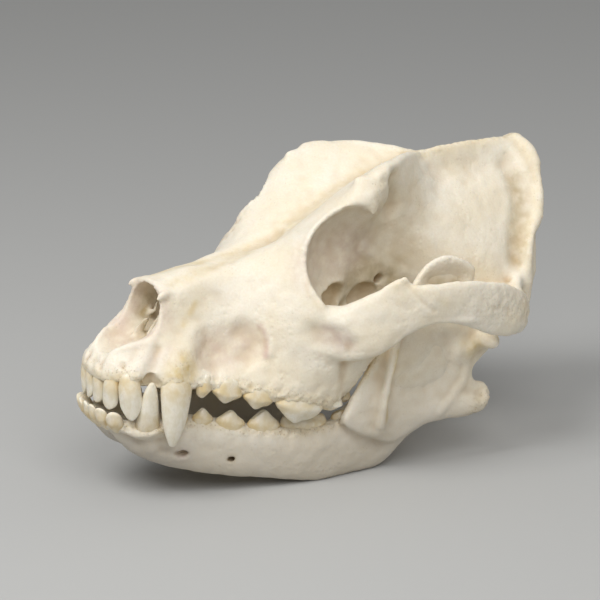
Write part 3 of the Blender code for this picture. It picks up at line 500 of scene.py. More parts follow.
def nearness(places, line, radius):
    """How near each place is to a line of points: 1 on it, falling softly to 0 at the radius."""
    line = np.array([tuple(p) for p in line], float)
    near = ((places > line.min(axis=0) - radius) & (places < line.max(axis=0) + radius)).all(axis=1)
    index = np.nonzero(near)[0]
    local = places[index]
    least = np.full(len(index), 1e9)
    starts, ends = (line[:-1], line[1:]) if len(line) > 1 else (line, line)
    for a, b in zip(starts, ends):
        run = b - a
        along = np.clip(((local - a) @ run) / max(run @ run, 1e-9), 0, 1)
        away = local - (a + along[:, None] * run)
        least = np.minimum(least, (away ** 2).sum(axis=1))
    weight = np.zeros(len(places))
    weight[index] = np.clip(1 - least / radius ** 2, 0, 1) ** 2
    return weight


print("nearness at half the radius is", nearness(np.array([[0.0, 0.5, 0.0]]), [(0, 0, 0)], 1.0)[0])

# %% A stroke on the skin
def sides_of(path, mirror):
    """The path, and its mirror image where it leaves the midplane."""
    return [path, mirrored(path)] if mirror and any(p[0] != 0 for p in path) else [path]


def sculpt(piece, strokes, mirror=True, lay=True, facing=None):
    """Moves the skin along its normals by each stroke: path, radius, height in mm (below 0 for a hollow)."""
    places, normals = co_and_normals(piece)
    skin = skin_of(piece) if lay else None
    turned = 1.0 if facing is None else np.clip(normals @ np.array(facing), 0, 1)
    for path, radius, height in strokes:
        for one in sides_of(path, mirror):
            amount = nearness(places, laid_on(skin, one), radius) * turned * height
            places += normals * amount[:, None]
    move_skin(piece, places)


def evened(piece, places, rounds):
    """The places after some rounds in which each moves to the middle of its neighbours."""
    mesh = piece.data
    pairs = np.empty(len(mesh.edges) * 2, np.int32)
    mesh.edges.foreach_get("vertices", pairs)
    a, b = pairs.reshape(-1, 2).T
    count = len(places)
    links = np.maximum(np.bincount(a, minlength=count) + np.bincount(b, minlength=count), 1)
    for _ in range(rounds):
        total = [np.bincount(a, places[b, k], count) + np.bincount(b, places[a, k], count) for k in range(3)]
        places = np.stack(total, axis=1) / links[:, None]
    return places


def soften(piece, path, radius, rounds):
    """Evens out the skin near a path."""
    places = co_and_normals(piece)[0]
    weight = nearness(places, laid_on(None, path), radius)
    places += (evened(piece, places, rounds) - places) * weight[:, None]
    move_skin(piece, places)


print("strokes ready: sculpt, soften")

# %% Hollows of the neck
# Path, radius and height of each stroke, and path, radius and rounds of the wall that is evened.
NECK_HOLLOWS = [
    ([(11, 127, 118), (15, 120, 102), (15, 115, 88)], 15.0, -7.5),
    ([(0, 127, 116), (0, 124, 100), (0, 120, 88)], 9.0, -3.5),
]
SOCKET_WALL = ([(25, -2, 92), (23, 10, 98), (21, 22, 104)], 18.0, 30)
BACKWARDS = (0.0, 1.0, 0.0)

sculpt(cranium, NECK_HOLLOWS, lay=False, facing=BACKWARDS)
soften(cranium, *SOCKET_WALL)
print("the back of the head is hollowed for the neck muscles")

# %% [markdown]
# The openings are cut next: the nose, seen from the side as a slanting step, with its air way behind; the
# way from the nose to the throat; and the room of the brain, which opens at the back where the spinal cord
# left. Small nerve holes pierce the cheek and the wall of the eye socket, and scraps of scroll bone stay in
# the nose.

# %% Openings of the cranium
NOSE_STEP = [
    (-82.2, 106.0), (-81.8, 98.5), (-83.6, 90.0), (-85.2, 84.5), (-88.5, 79.6), (-92.5, 77.2), (-98.5, 75.6),
    (-104.0, 72.8), (-107.5, 69.2), (-110.5, 65.2), (-115.0, 62.0), (-124.0, 66.0), (-124.0, 100.0),
    (-110.0, 110.0),
]
NOSE_STEP_WIDTH = 70.0
NOSE_HOLLOW = [
    (0, -112, 84, 7.5, 13.0), (0, -103, 82, 11.4, 12.8), (0, -95, 82, 14.4, 12.4), (0, -88, 84.0, 14.2, 12.8),
    (0, -80, 85, 13.4, 13.0), (0, -66, 83, 11.0, 13.0), (0, -52, 80, 8.0, 9.0),
]
SOCKET_POCKETS = (
    ((29.5, -1.5, 81), (9.0, 8.0, 8.0)), ((24, 5.5, 81.5), (9.0, 10.0, 9.0)),
    ((17.5, 25.5, 78), (8.0, 9.5, 8.4)),
)
CANINE_NOTCH = ((26.5, -94.2, 58.8), (5.2, 3.9, 5.6))
THROAT_WAY = [(0, 64, 56, 9.0, 7.0), (0, 44, 56, 10.0, 9.0), (0, 26, 54, 10.5, 9.0), (0, 12, 50, 10.0, 6.0)]
BRAIN_ROOM = [
    (0, 130, 73, 9.0, 8.0), (0, 116, 74, 9.8, 9.0), (0, 108, 82, 21.0, 18.5), (0, 99, 89, 28.0, 25.5),
    (0, 86, 91.5, 30.0, 27.5), (0, 72, 92.5, 27.8, 27.0), (0, 58, 94, 22.0, 22.5), (0, 47, 97, 13.0, 14.0),
]
TURBINATES = [
    [(5.0, -87, 70, 1.1, 1.4), (5.6, -84, 75, 0.8, 2.4), (4.2, -80, 80, 0.7, 1.6)],
    [(2.0, -79, 70, 1.0, 1.6), (1.4, -77, 76, 0.8, 2.6), (2.4, -74, 81, 0.7, 1.8)],
    [(13.0, -76, 80, 2.0, 1.0), (8.4, -74, 82, 1.6, 0.8), (7.6, -73, 86, 0.8, 0.8)],
]
NOSE_TUBERCLE = [(12.6, -79, 96.0, 2.0, 2.0), (13.6, -82.2, 95.4, 1.6, 1.8), (14.0, -84.2, 94.6, 0.8, 1.0)]
SOCKET_HOLES = [
    [(21, 34.5, 87.2, 3.1, 3.1), (15, 33.5, 86.5, 2.7, 2.7), (12, 33, 86.4, 2.0, 2.0)],
    [(20.5, 19.2, 94.6, 0.9, 0.9), (15, 19, 94, 0.8, 0.8)],
]
FINE_VOXEL = 0.9
FINE_SMOOTHING = 2

cutters = [
    plate("nose_step", NOSE_STEP, lambda y, z: 0.0, lambda y, z: NOSE_STEP_WIDTH, steps=2),
    tube("nose_hollow", NOSE_HOLLOW, squareness=2.3, sides=24),
    tube("throat_way", THROAT_WAY),
    tube("brain_room", BRAIN_ROOM, sides=24),
]
for hole in SOCKET_HOLES:
    cutters += both_sides(tube, "socket_hole", hole, up=(0, 0, 1))
for place, radii in (CANINE_NOTCH, *SOCKET_POCKETS):
    cutters += pair_of_balls("hollow", place, radii)
boolean(cranium, cutters, "DIFFERENCE")
scrolls = [piece for path in TURBINATES for piece in both_sides(tube, "turbinate", path, up=(0, 1, 0))]
scrolls += both_sides(tube, "nose_tubercle", NOSE_TUBERCLE)
cranium = join("cranium", [cranium] + scrolls)
melt(cranium, FINE_VOXEL, FINE_SMOOTHING)

# %% [markdown]
# The teeth come later, but they shape the bone round them: a tooth with two roots pushes out two low ribs
# above its neck. So their sizes are set down now, each as its place in the row and a few lengths.

# %% Sizes of the cheek teeth
# A row is the line of the necks. A cheek tooth is its y, length, width, crown height and its cusps from the
# front: place along the crown from -1 to 1, and share of the height.
UPPER_ROW = [
    (29.0, -76.0, 55.6), (29.3, -70.0, 54.4), (31.0, -58.0, 50.6), (34.3, -42.5, 46.2), (39.2, -25.0, 41.4),
    (37.5, -14.0, 39.2), (35.0, -6.0, 38.4), (33.0, 2.5, 38.6), (32.0, 6.0, 39.0),
]
UPPER_CHEEK = {
    "p1": (-70.0, 8.6, 5.2, 6.8, ((-0.1, 1.0), (0.55, 0.45))),
    "p2": (-58.6, 15.0, 6.4, 7.6, ((-0.62, 0.36), (-0.08, 1.0), (0.45, 0.46), (0.72, 0.4))),
    "p3": (-43.8, 15.4, 7.0, 8.4, ((-0.62, 0.36), (-0.08, 1.0), (0.38, 0.42), (0.68, 0.5))),
    "p4": (-24.8, 23.8, 9.4, 12.4, ((-0.72, 0.42), (-0.12, 1.0), (0.2, 0.6), (0.5, 0.64), (0.8, 0.5))),
    "m1": (-6.8, 12.5, 15.5, 5.6, ((-0.5, 0.95), (0.0, 0.7), (0.5, 0.9))),
    "m2": (2.6, 7.0, 11.0, 4.2, ((-0.4, 0.95), (0.4, 0.8))),
}
LOWER_ROW = [
    (22.0, -76.5, 38.0), (23.0, -67.0, 36.6), (26.6, -55.0, 33.4), (29.6, -40.0, 30.0), (31.0, -22.0, 26.8),
    (32.5, -8.0, 26.4), (34.5, 3.0, 29.4), (37.0, 10.0, 33.2),
]
LOWER_CHEEK = {
    "p1": (-76.5, 5.0, 4.0, 4.6, ((-0.4, 0.8), (0.2, 1.0))),
    "p2": (-67.2, 10.8, 5.2, 7.4, ((-0.5, 0.5), (-0.1, 1.0), (0.5, 0.42))),
    "p3": (-54.8, 14.6, 6.0, 8.8, ((-0.6, 0.42), (-0.04, 1.0), (0.4, 0.46), (0.7, 0.4))),
    "p4": (-38.9, 16.8, 6.8, 11.2, ((-0.62, 0.42), (-0.1, 1.0), (0.4, 0.48), (0.72, 0.4))),
    "m1": (-18.0, 24.5, 8.4, 13.0, ((-0.72, 0.6), (-0.42, 0.72), (-0.1, 1.0), (0.25, 0.42), (0.68, 0.34))),
    "m2": (0.6, 9.5, 7.0, 3.6, ((-0.4, 1.0), (0.4, 0.8))),
    "m3": (8.6, 4.6, 4.6, 2.4, ((-0.3, 1.0), (0.4, 0.8))),
}
MOLARS = ("m1", "m2", "m3")
CHEEK_ROOT = 7.0
UPPER_AXIS = (0, -0.26, -0.965)
LOWER_AXIS = (0, 0.12, 0.99)
BULGE_RADIUS = 4.0
BULGE_HEIGHT = 0.35
BULGE_LENGTH = 8.0


def row_place(row, y):
    """The neck of a row at y, and the row's direction there."""
    path = smooth_path(row, 6)
    k = min(range(1, len(path) - 1), key=lambda i: abs(path[i][1] - y))
    before, after = Vector(path[k - 1]), Vector(path[k + 1])
    share = (y - before.y) / (after.y - before.y)
    return before.lerp(after, share), (after - before).normalized()


def root_bulges(row, teeth, axis):
    """A rib of bone over each root, from the neck of the tooth on, as strokes."""
    strokes = []
    for name, (y, length, width, *_) in teeth.items():
        if name in MOLARS[1:]:
            continue
        for share in ((0.0,) if length < 12 else (-0.27, 0.27)):
            neck = row_place(row, y + share * length)[0]
            neck.x += width / 2 + 1.0
            rib = [tuple(neck - Vector(axis) * reach) for reach in (2.5, BULGE_LENGTH)]
            strokes.append((rib, BULGE_RADIUS, BULGE_HEIGHT))
    return strokes


print(len(UPPER_CHEEK), "upper and", len(LOWER_CHEEK), "lower cheek teeth on each side")

# %% [markdown]
# The fine relief follows landmarks that every dog's skull has: soft grooves beside the nose bones that meet
# in the furrow of the forehead, the bulge over the root of each canine, the hollow in the cheek before its
# nerve opening, the line where the temple muscle began, and the groove in front of the rim at the back.

# %% Relief of the cranium
NUCHAL_GROOVE = [(7, 114, 131), (13, 115.5, 124), (21, 113.8, 114.5), (28.5, 107.5, 104.5), (35, 102, 91)]
# Path, radius and height in millimetres.
FACE_RELIEF = [
    ([(9.5, -74, 100), (6.5, -58, 102), (4, -44, 104), (2.4, -30, 106.5), (1.2, -14, 112)], 7.0, -0.7),
    ([(0, -16, 112), (0, 0, 120), (0, 14, 128.5), (0, 30, 134.5), (0, 46, 138)], 14.0, -1.8),
    ([(26, -61, 69), (29, -49, 71)], 15.0, -3.0),
    ([(31, -39, 77.5), (33.6, -37.8, 72.5), (35, -38.4, 66.5)], 3.0, 0.7),
    ([(27, -48, 76.5), (30, -45, 71.5), (31, -48, 66)], 8.0, -1.7),
    ([(30.4, -42.2, 77), (32, -41.2, 72.5), (33, -42, 67)], 2.0, -0.8),
    ([(29.5, -84, 60), (28, -81, 67), (24.4, -75.5, 72), (21, -70, 77)], 8.0, 1.5),
    ([(19.8, -101.5, 60), (18.8, -97, 67), (17, -91, 73)], 4.6, 0.9),
    ([(11.4, -107, 60), (10.4, -104, 67)], 3.2, 0.6),
    ([(3.8, -109, 60), (3.6, -107, 66)], 2.8, 0.5),
    ([(15.8, -105.5, 59), (14.8, -102.5, 66)], 2.6, -0.6),
    ([(7.6, -109, 59), (7.0, -106, 66)], 2.4, -0.5),
    ([(24, -97.5, 59), (22.6, -92, 67), (20.5, -88, 73)], 4.0, -1.0),
    ([(18.3, -86.8, 80), (17.4, -92.5, 76.5), (13.7, -99, 75), (9.2, -104, 72.5), (8.6, -109.5, 66)],
     3.0, 0.5),
    ([(47, -20.5, 76.5), (52, -15, 74.5), (56, -9.5, 71)], 9.0, -1.9),
    ([(55.5, -10.5, 70.8)], 2.4, -1.0),
    ([(40.7, -25.5, 87), (46, -21, 85), (50.4, -15.4, 84), (55.2, -10.4, 82.6)], 6.0, 0.4),
    ([(33, 2, 125), (35, -9, 116), (36.5, -17, 105), (41, -19, 97), (47, -17, 90)], 3.0, 0.7),
    ([(18.3, 23.6, 104), (18.1, 30.6, 98.5), (18.1, 38, 93), (19, 44.5, 88.7)], 5.0, 0.9),
    ([(33, 23, 142), (29.8, 32, 143), (19.5, 43, 144), (9, 54, 142.5), (2.5, 64, 141)], 4.0, 0.9),
    ([(30, 34, 138), (27.5, 37, 130), (25, 38, 121)], 9.0, -3.2),
    (NUCHAL_GROOVE, 7.5, -2.2),
    (NUCHAL_RIM, 5.0, 0.7),
    ([(64.5, 14, 101), (66.5, 18, 96), (68.5, 23, 90), (69, 28, 86)], 2.0, -0.6),
    ([(60, 7, 68), (66, 13.6, 75), (70, 30, 79.5), (71, 45, 79), (68, 62, 74)], 2.6, 0.5),
]
# Radius and rounds by which the groove is evened.
NUCHAL_EVENING = (12.0, 12)

sculpt(cranium, FACE_RELIEF + root_bulges(UPPER_ROW, UPPER_CHEEK, UPPER_AXIS))
for one in sides_of(NUCHAL_GROOVE, True):
    soften(cranium, one, *NUCHAL_EVENING)
print(len(FACE_RELIEF), "strokes of relief")

# %% [markdown]
# Old bone is never quite even. A wide, shallow wave over the whole skin breaks up the reflections, and where
# muscles pulled hardest the surface is rough and beaded: along the crest and rim, at the hook over the eye,
# at the ends of the cheek bone, and in the thin bone round the teeth. Both come from smooth noise.

# %% Unevenness of the cranium
def roughen(piece, size, height, where=None):
    """Moves the skin along its normals by smooth noise of this size and height in mm, scaled by where."""
    places, normals = co_and_normals(piece)
    chosen = range(len(places)) if where is None else np.nonzero(where > 0.01)[0]
    shift = np.zeros(len(places))
    for i in chosen:
        shift[i] = noise.noise(Vector(places[i]) / size)
    if where is not None:
        shift *= where
    places += normals * (shift * height)[:, None]
    move_skin(piece, places)


def marked(piece, marks, mirror=True):
    """One amount from 0 to 1 for each vertex, from marks of path, radius and amount."""
    places = co_and_normals(piece)[0]
    total = np.zeros(len(places))
    for path, radius, amount in marks:
        for one in sides_of(path, mirror):
            total = np.maximum(total, nearness(places, laid_on(None, one), radius) * amount)
    return total


print("noise of 5 mm at one place is", round(noise.noise(Vector((20, -60, 91)) / 5.0), 2))

# %% Rough skin of the cranium
CREST_LINE = [(0, 60, 141), (0, 80, 142.5), (0, 100, 144), (0, 116, 143.5), (0, 127, 141)]
ALVEOLAR_LINE = [
    (6, -109, 59), (15, -105, 58.5), (24, -97, 57.5), (29, -86, 57.5), (31, -74, 55.5), (32, -62, 54),
    (34.5, -48, 50), (39, -36, 46.5), (43, -24, 43), (42, -10, 40), (38, 0, 38.5), (32, 6, 40),
]
# The end of the upper jaw behind the last tooth.
TUBER = [(36, 2, 36), (39, 6, 46), (44, 9, 55), (49, 13, 64)]
# Path, radius in millimetres and amount.
ROUGH_PLACES = [
    (CREST_LINE, 4.0, 0.45),
    (NUCHAL_RIM, 5.0, 0.25),
    ([(32, 24, 140), (37, 18, 130), (38, 17, 124)], 8.0, 0.3),
    ([(64, 11, 99), (66, 18, 100), (68, 24, 96)], 5.0, 0.2),
    ([(68, 62, 82), (65, 76, 78), (62, 86, 74), (56, 92, 70)], 13.0, 0.5),
    (ALVEOLAR_LINE, 7.0, 0.8),
    ([(28, -84, 62), (25, -78, 70)], 9.0, 0.2),
    ([(20, -101, 63), (12, -105, 64), (4, -108, 64)], 6.5, 0.9),
    (TUBER, 6.0, 1.0),
]
FAR_BROW = [([(-27, -25, 105), (-28, -5, 124)], 4.0, 0.8)]
# Size and height of each wave, and of the beads on rough skin.
WAVES = ((14.0, 0.7), (5.0, 0.3))
BEADS = (2.6, 1.3)

rough = np.maximum(marked(cranium, ROUGH_PLACES), marked(cranium, FAR_BROW, mirror=False))
for wave in WAVES:
    roughen(cranium, *wave)
roughen(cranium, *BEADS, rough)
print("rough skin on", round(100 * float((rough > 0.1).mean())), "% of the cranium")

# %% [markdown]
# The cranium is parted where a person names its parts: muzzle, forehead, braincase, occiput and cheek arches.
# The cuts are planes with no gap, so the whole still looks like one bone, and each piece stays closed. The
# planes are the same as in the solids, so that each piece takes the place of one solid.

# %% Planes and regions
# A place on each plane and the way it faces.
MUZZLE_SEAM = ((0, 0, 78), (0, 0.954, 0.301))
FOREHEAD_SEAM = ((0, 60.2, 100), (0, 1.0, 0.0))
OCCIPUT_SEAM = ((0, 101, 75), (0, 1.0, -0.2))
ARCH_SEAMS = [
    ((47, -6, 72), (0.55, 0.73, 0.40)),
    ((39, 60, 75), (1.0, 0.0, 0.0)),
    ((44, 98, 75), (0.0, -1.0, 0.0)),
    ((44, 40, 112), (0.0, 0.0, -1.0)),
]
REACH = 400.0


def region(name, planes, side=1):
    """The space in front of all the planes."""
    bm = bmesh.new()
    bmesh.ops.create_cube(bm, size=REACH)
    for place, way in planes:
        place, way = Vector(place), Vector(way).normalized()
        place.x, way.x = place.x * side, way.x * side
        cut = bmesh.ops.bisect_plane(bm, geom=bm.verts[:] + bm.edges[:] + bm.faces[:], dist=1e-5,
                                     plane_co=place, plane_no=way, clear_inner=True)
        rim = [item for item in cut["geom_cut"] if isinstance(item, bmesh.types.BMEdge)]
        bmesh.ops.contextual_create(bm, geom=rim)
    return mesh_object(name, bm)


def largest_only(piece):
    """Keeps the largest closed surface of a mesh."""
    bm = bmesh.new()
    bm.from_mesh(piece.data)
    unseen = set(bm.verts)
    shells = []
    while unseen:
        seed = unseen.pop()
        shell, stack = {seed}, [seed]
        while stack:
            for edge in stack.pop().link_edges:
                for vert in edge.verts:
                    if vert in unseen:
                        unseen.discard(vert)
                        shell.add(vert)
                        stack.append(vert)
        shells.append(shell)
    keep = max(shells, key=len)
    loose = [vert for shell in shells if shell is not keep for vert in shell]
    bmesh.ops.delete(bm, geom=loose, context="VERTS")
    bm.to_mesh(piece.data)
    bm.free()


def ahead_of(seam):
    place, way = seam
    return place, tuple(-value for value in way)


print("a region is a block of", REACH, "mm cut by planes")

# %% Pieces of the cranium
def part_cranium(whole):
    bones = {}
    for name, side in (("zygomatic_arch_left", 1), ("zygomatic_arch_right", -1)):
        bones[name] = linked(name + "_bone", whole.data.copy())
        boolean(bones[name], [region("arch_space", ARCH_SEAMS, side)], "INTERSECT")
    rooms = {
        "muzzle": [ahead_of(MUZZLE_SEAM)],
        "forehead": [MUZZLE_SEAM, ahead_of(FOREHEAD_SEAM)],
        "braincase": [FOREHEAD_SEAM, ahead_of(OCCIPUT_SEAM)],
        "occiput": [OCCIPUT_SEAM],
    }
    for name, planes in rooms.items():
        bones[name] = linked(name + "_bone", whole.data.copy())
        boolean(bones[name], [region("room", planes)], "INTERSECT")
        boolean(bones[name], [region("arch_space", ARCH_SEAMS, side) for side in (1, -1)], "DIFFERENCE")
    for bone in bones.values():
        largest_only(bone)
    return bones


bones = part_cranium(cranium)
for name, bone in bones.items():
    print(name, "has", len(bone.data.vertices), "vertices")

# %% [markdown]
# The lower jaw is two halves that meet at the chin. Each is a deep bar that carries the teeth and a thin
# upright plate behind, with the knob of the joint, the high blade for the temple muscle and a small hook
# below. The outside of the plate is hollowed where the chewing muscle filled it.

# %% Forms of the lower jaw
# The body: x, y, top z, bottom z and half width.
JAW_BODY = [
    (4.0, -106.6, 40.8, 36.6, 4.4), (6.0, -103.0, 40.2, 32.0, 6.4), (8.0, -97.5, 39.6, 25.4, 7.8),
    (11.0, -90.0, 39.0, 19.2, 10.0), (14.5, -80.0, 39.3, 14.4, 10.0), (19.0, -70.0, 38.0, 11.0, 7.8),
    (23.5, -58.0, 34.8, 8.2, 6.6), (28.0, -42.0, 31.0, 5.2, 6.4), (31.7, -26.0, 27.8, 1.9, 6.6),
    (33.3, -14.0, 26.8, -0.5, 6.7), (34.0, -2.0, 28.2, -0.9, 6.7), (34.4, 8.0, 33.0, -0.9, 6.3),
    (34.9, 15.5, 37.0, -0.4, 5.8), (36.6, 22.0, 37.0, 4.6, 5.5), (40.5, 31.0, 35.0, 13.6, 5.0),
    (45.0, 44.0, 34.0, 20.4, 4.2), (48.0, 58.0, 33.0, 21.6, 3.6), (50.5, 66.0, 32.0, 22.0, 3.2),
]
JAW_RIM = [
    (0, -108.6, 39.0, 2.6, 2.3), (7, -107.4, 38.8, 2.7, 2.4), (13.0, -104.2, 38.4, 2.9, 2.7),
    (17.8, -99.6, 36.8, 3.5, 3.4), (20.5, -93.5, 35.8, 4.2, 4.0), (21.8, -86.5, 36.3, 4.2, 3.8),
    (21.2, -78.0, 36.8, 3.6, 3.4),
]
RAMUS = [
    (-2.0, 27.0), (0.5, 36.0), (5.5, 46.0), (12.0, 57.0), (20.0, 70.0), (29.0, 87.0),
    (39.0, 99.5), (48.0, 103.7),
    (58.0, 101.0), (66.0, 93.5), (63.5, 83.0), (62.0, 73.0), (69.0, 66.0), (77.0, 58.6), (75.4, 52.6),
    (72.0, 49.6), (69.0, 45.6), (67.4, 41.0), (69.0, 37.8), (73.6, 36.6), (76.2, 33.0), (75.6, 27.0),
    (72.4, 22.6), (64.0, 20.8), (50.0, 21.2), (36.0, 20.0), (22.0, 14.6),
]
JAW_CONDYLE = [
    (41, 72, 60.5, 5.0, 4.0), (50, 71, 61, 5.6, 4.8), (57.5, 70.2, 60.2, 5.0, 4.2), (61, 70, 59.8, 3.0, 3.0),
]
JAW_NECK = [(49, 56, 52, 4.0, 6.0), (49.5, 66, 58, 4.5, 4.5)]
JAW_RIDGE = [
    (44.5, 17.0, 22.0, 3.5, 3.5), (48.0, 16.5, 36.0, 3.5, 3.5), (49.5, 18.5, 52.0, 3.2, 3.2),
    (50.0, 22.0, 67.0, 2.4, 2.6), (49.5, 32, 86, 1.8, 2.0),
]
JAW_HOOK = [
    (48, 56, 24.8, 3.0, 3.4), (50, 65, 24.9, 3.0, 3.4), (51.3, 71, 27.2, 2.6, 3.4),
    (51.8, 73.2, 31.4, 1.8, 2.2),
]
CHIN_HOLES = [
    [(27.5, -82.5, 22.8, 3.8, 2.3), (24.0, -78.5, 22.4, 3.2, 2.0), (22.4, -76.0, 22.4, 2.0, 1.4)],
    [(33.5, -58.5, 17.2, 2.0, 1.3), (29, -55.5, 17.0, 1.8, 1.2), (25, -51, 17.5, 1.4, 1.2)],
]
JAW_VOXEL = 0.8
JAW_SMOOTHING = 4
LAST_SMOOTHING = 1


def ramus_x(y, z):
    """The upright plate leans out towards its rear and its top."""
    return 42.5 + 0.075 * (y - 10) + 0.045 * (z - 30)


def ramus_thickness(y, z):
    """It thins towards its top."""
    return 5.2 - 0.022 * (z - 20)


body_stations = [(x, y, (top + low) / 2, half, (top - low) / 2) for x, y, top, low, half in JAW_BODY]
jaw = join("jaw", [
    tube("jaw_body", body_stations, squareness=2.5, sides=20),
    tube("jaw_rim", JAW_RIM),
    plate("ramus", RAMUS, ramus_x, ramus_thickness),
    tube("jaw_condyle", JAW_CONDYLE),
    tube("jaw_neck", JAW_NECK),
    tube("jaw_ridge", JAW_RIDGE, up=(0, 1, 0)),
    tube("jaw_hook", JAW_HOOK),
])
melt(jaw, SKIN_VOXEL, JAW_SMOOTHING)
boolean(jaw, [tube("chin_hole", hole) for hole in CHIN_HOLES], "DIFFERENCE")
melt(jaw, JAW_VOXEL, LAST_SMOOTHING)

# %% [markdown]
# The jaw gets its relief in the same way, and then its copy is turned into a mirror image for the other side.
# The chin is cut at the midplane, where the two halves meet in life with a rough joint.

# %% Relief of the lower jaw
JAW_RELIEF = [
    ([(51, 32, 44), (52, 46, 48)], 22.0, -2.9),
    ([(51.7, 20, 65.6), (52.2, 18.5, 56), (51.5, 16, 45), (51, 15, 38), (47.5, 15, 25)], 3.6, 0.9),
    ([(49.7, 47.5, 26.5), (51, 56, 35), (51.6, 62, 41), (53, 63, 56)], 3.4, 0.9),
    ([(51, 44, 91), (52, 55, 91)], 9.0, -2.4),
    ([(20.5, -98, 35), (20.5, -93, 27)], 6.0, 0.9),
    ([(24, -84, 24), (21, -88, 26)], 3.4, -0.8),
    ([(19.5, -99.5, 38.5), (23.5, -96, 38.5), (25, -91, 39)], 3.6, -1.2),
    ([(7, -110, 37.5), (13.5, -107, 36.5), (20, -101.5, 35), (24, -96.5, 34.6), (25.5, -90.3, 37)], 2.2, 0.9),
]
STANCE_LEVEL = 0.1


def stand_flat(piece, level):
    """Lifts what reaches lower to the level, so that the jaw stands on small flats as on a shelf."""
    places = co_and_normals(piece)[0]
    places[:, 2] = np.maximum(places[:, 2], level)
    move_skin(piece, places)


JAW_ALVEOLAR_LINE = [
    (4, -110, 39), (13, -107, 38.5), (19, -101, 37.5), (24, -92, 37), (24.5, -80, 37.5), (26, -68, 36.5),
    (30, -55, 33), (33.5, -40, 29.5), (36, -25, 27), (38, -8, 27), (40, 4, 30),
]
JAW_HOOK_END = [(50, 66, 25), (52, 74, 32)]
JAW_ROUGH_PLACES = [
    (JAW_ALVEOLAR_LINE, 5.0, 1.0),
    (JAW_HOOK_END, 7.0, 1.0),
    ([(0, -106, 34), (5, -98, 24), (8, -88, 18)], 10.0, 0.5),
    ([(50, 47, 103), (50, 58, 101)], 4.0, 0.5),
]
JAW_WALL = ([(49, 26, 34), (50, 40, 42), (51, 56, 48)], 30.0, 24)
JAW_WAVES = ((14.0, 0.6), (5.0, 0.3))
JAW_BEADS = (2.4, 1.0)

soften(jaw, *JAW_WALL)
sculpt(jaw, JAW_RELIEF + root_bulges(LOWER_ROW, LOWER_CHEEK, LOWER_AXIS), mirror=False)
for wave in JAW_WAVES:
    roughen(jaw, *wave)
roughen(jaw, *JAW_BEADS, marked(jaw, JAW_ROUGH_PLACES, mirror=False))
stand_flat(jaw, STANCE_LEVEL)
print("the jaw stands at", STANCE_LEVEL, "mm")

# %% Two halves of the jaw
def mirror_image(piece, name):
    made = linked(name, piece.data.copy())
    bm = bmesh.new()
    bm.from_mesh(made.data)
    bmesh.ops.scale(bm, vec=(-1, 1, 1), verts=bm.verts)
    bmesh.ops.reverse_faces(bm, faces=bm.faces)
    bm.to_mesh(made.data)
    bm.free()
    return made


for name, side in (("mandible_left", 1), ("mandible_right", -1)):
    half = linked(name + "_bone", jaw.data.copy()) if side > 0 else mirror_image(jaw, name + "_bone")
    boolean(half, [region("half", [((0, 0, 0), (1, 0, 0))], side)], "INTERSECT")
    largest_only(half)
    bones[name] = half
    print(name, "has", len(half.data.vertices), "vertices")

# %% [markdown]
# A tooth is not bone: its crown is capped with enamel, smooth and hard. Each crown starts as a small cage of
# rings, from the sunk root over the neck and the belly to an edge that rises and falls with the cusps, and a
# subdivision surface rounds it. One loop makes a row, since the sizes alone tell one tooth from the next.

# %% Sizes of the incisors
# Incisors: neck place, tip place, width of the crown, its thickness.
UPPER_INCISORS = [
    ((3.8, -108.4, 60.5), (3.9, -111.2, 47.2), 7.6, 6.6),
    ((11.2, -106.6, 59.5), (12.2, -109.2, 45.8), 8.4, 7.4),
    ((18.8, -102.2, 59.0), (22.2, -102.6, 41.6), 10.6, 8.0),
]
LOWER_INCISORS = [
    ((2.7, -111.0, 40.0), (2.8, -114.2, 46.8), 5.6, 4.8),
    ((8.3, -110.0, 40.0), (9.0, -113.4, 46.6), 6.4, 5.2),
    ((14.4, -107.2, 39.6), (16.4, -110.6, 46.2), 7.8, 6.0),
]
INCISOR_CUSPS = ((-0.6, 0.9), (-0.1, 1.02), (0.55, 0.92))
INCISOR_ENDS = (0.8, 0.76, 0.5)
INCISOR_EDGE = 0.98
INCISOR_TURNS = (12, 36, 60)
INCISOR_ROOT = 6.0
print(len(UPPER_INCISORS) + len(LOWER_INCISORS), "incisors on each side")

# %% A crown from a few rings
# Rounding shrinks a cage, so it is made this much larger and higher.
ROOM_FOR_ROUNDING = 1.12
CUSP_GAIN = 1.1
# Shares of a cheek tooth's height at its ends, and of its length along its edge.
CHEEK_ENDS = 0.24
MOLAR_ENDS = 0.5
CHEEK_EDGE = 0.84
# Shares of the width at the edge, and of the height at a molar's inner cusps.
SHARP_WIDTH = 0.12
GRINDING_WIDTH = 0.62
INNER_CUSPS = 0.8
# Share of the length and the width at the belly.
BELLY = 1.02


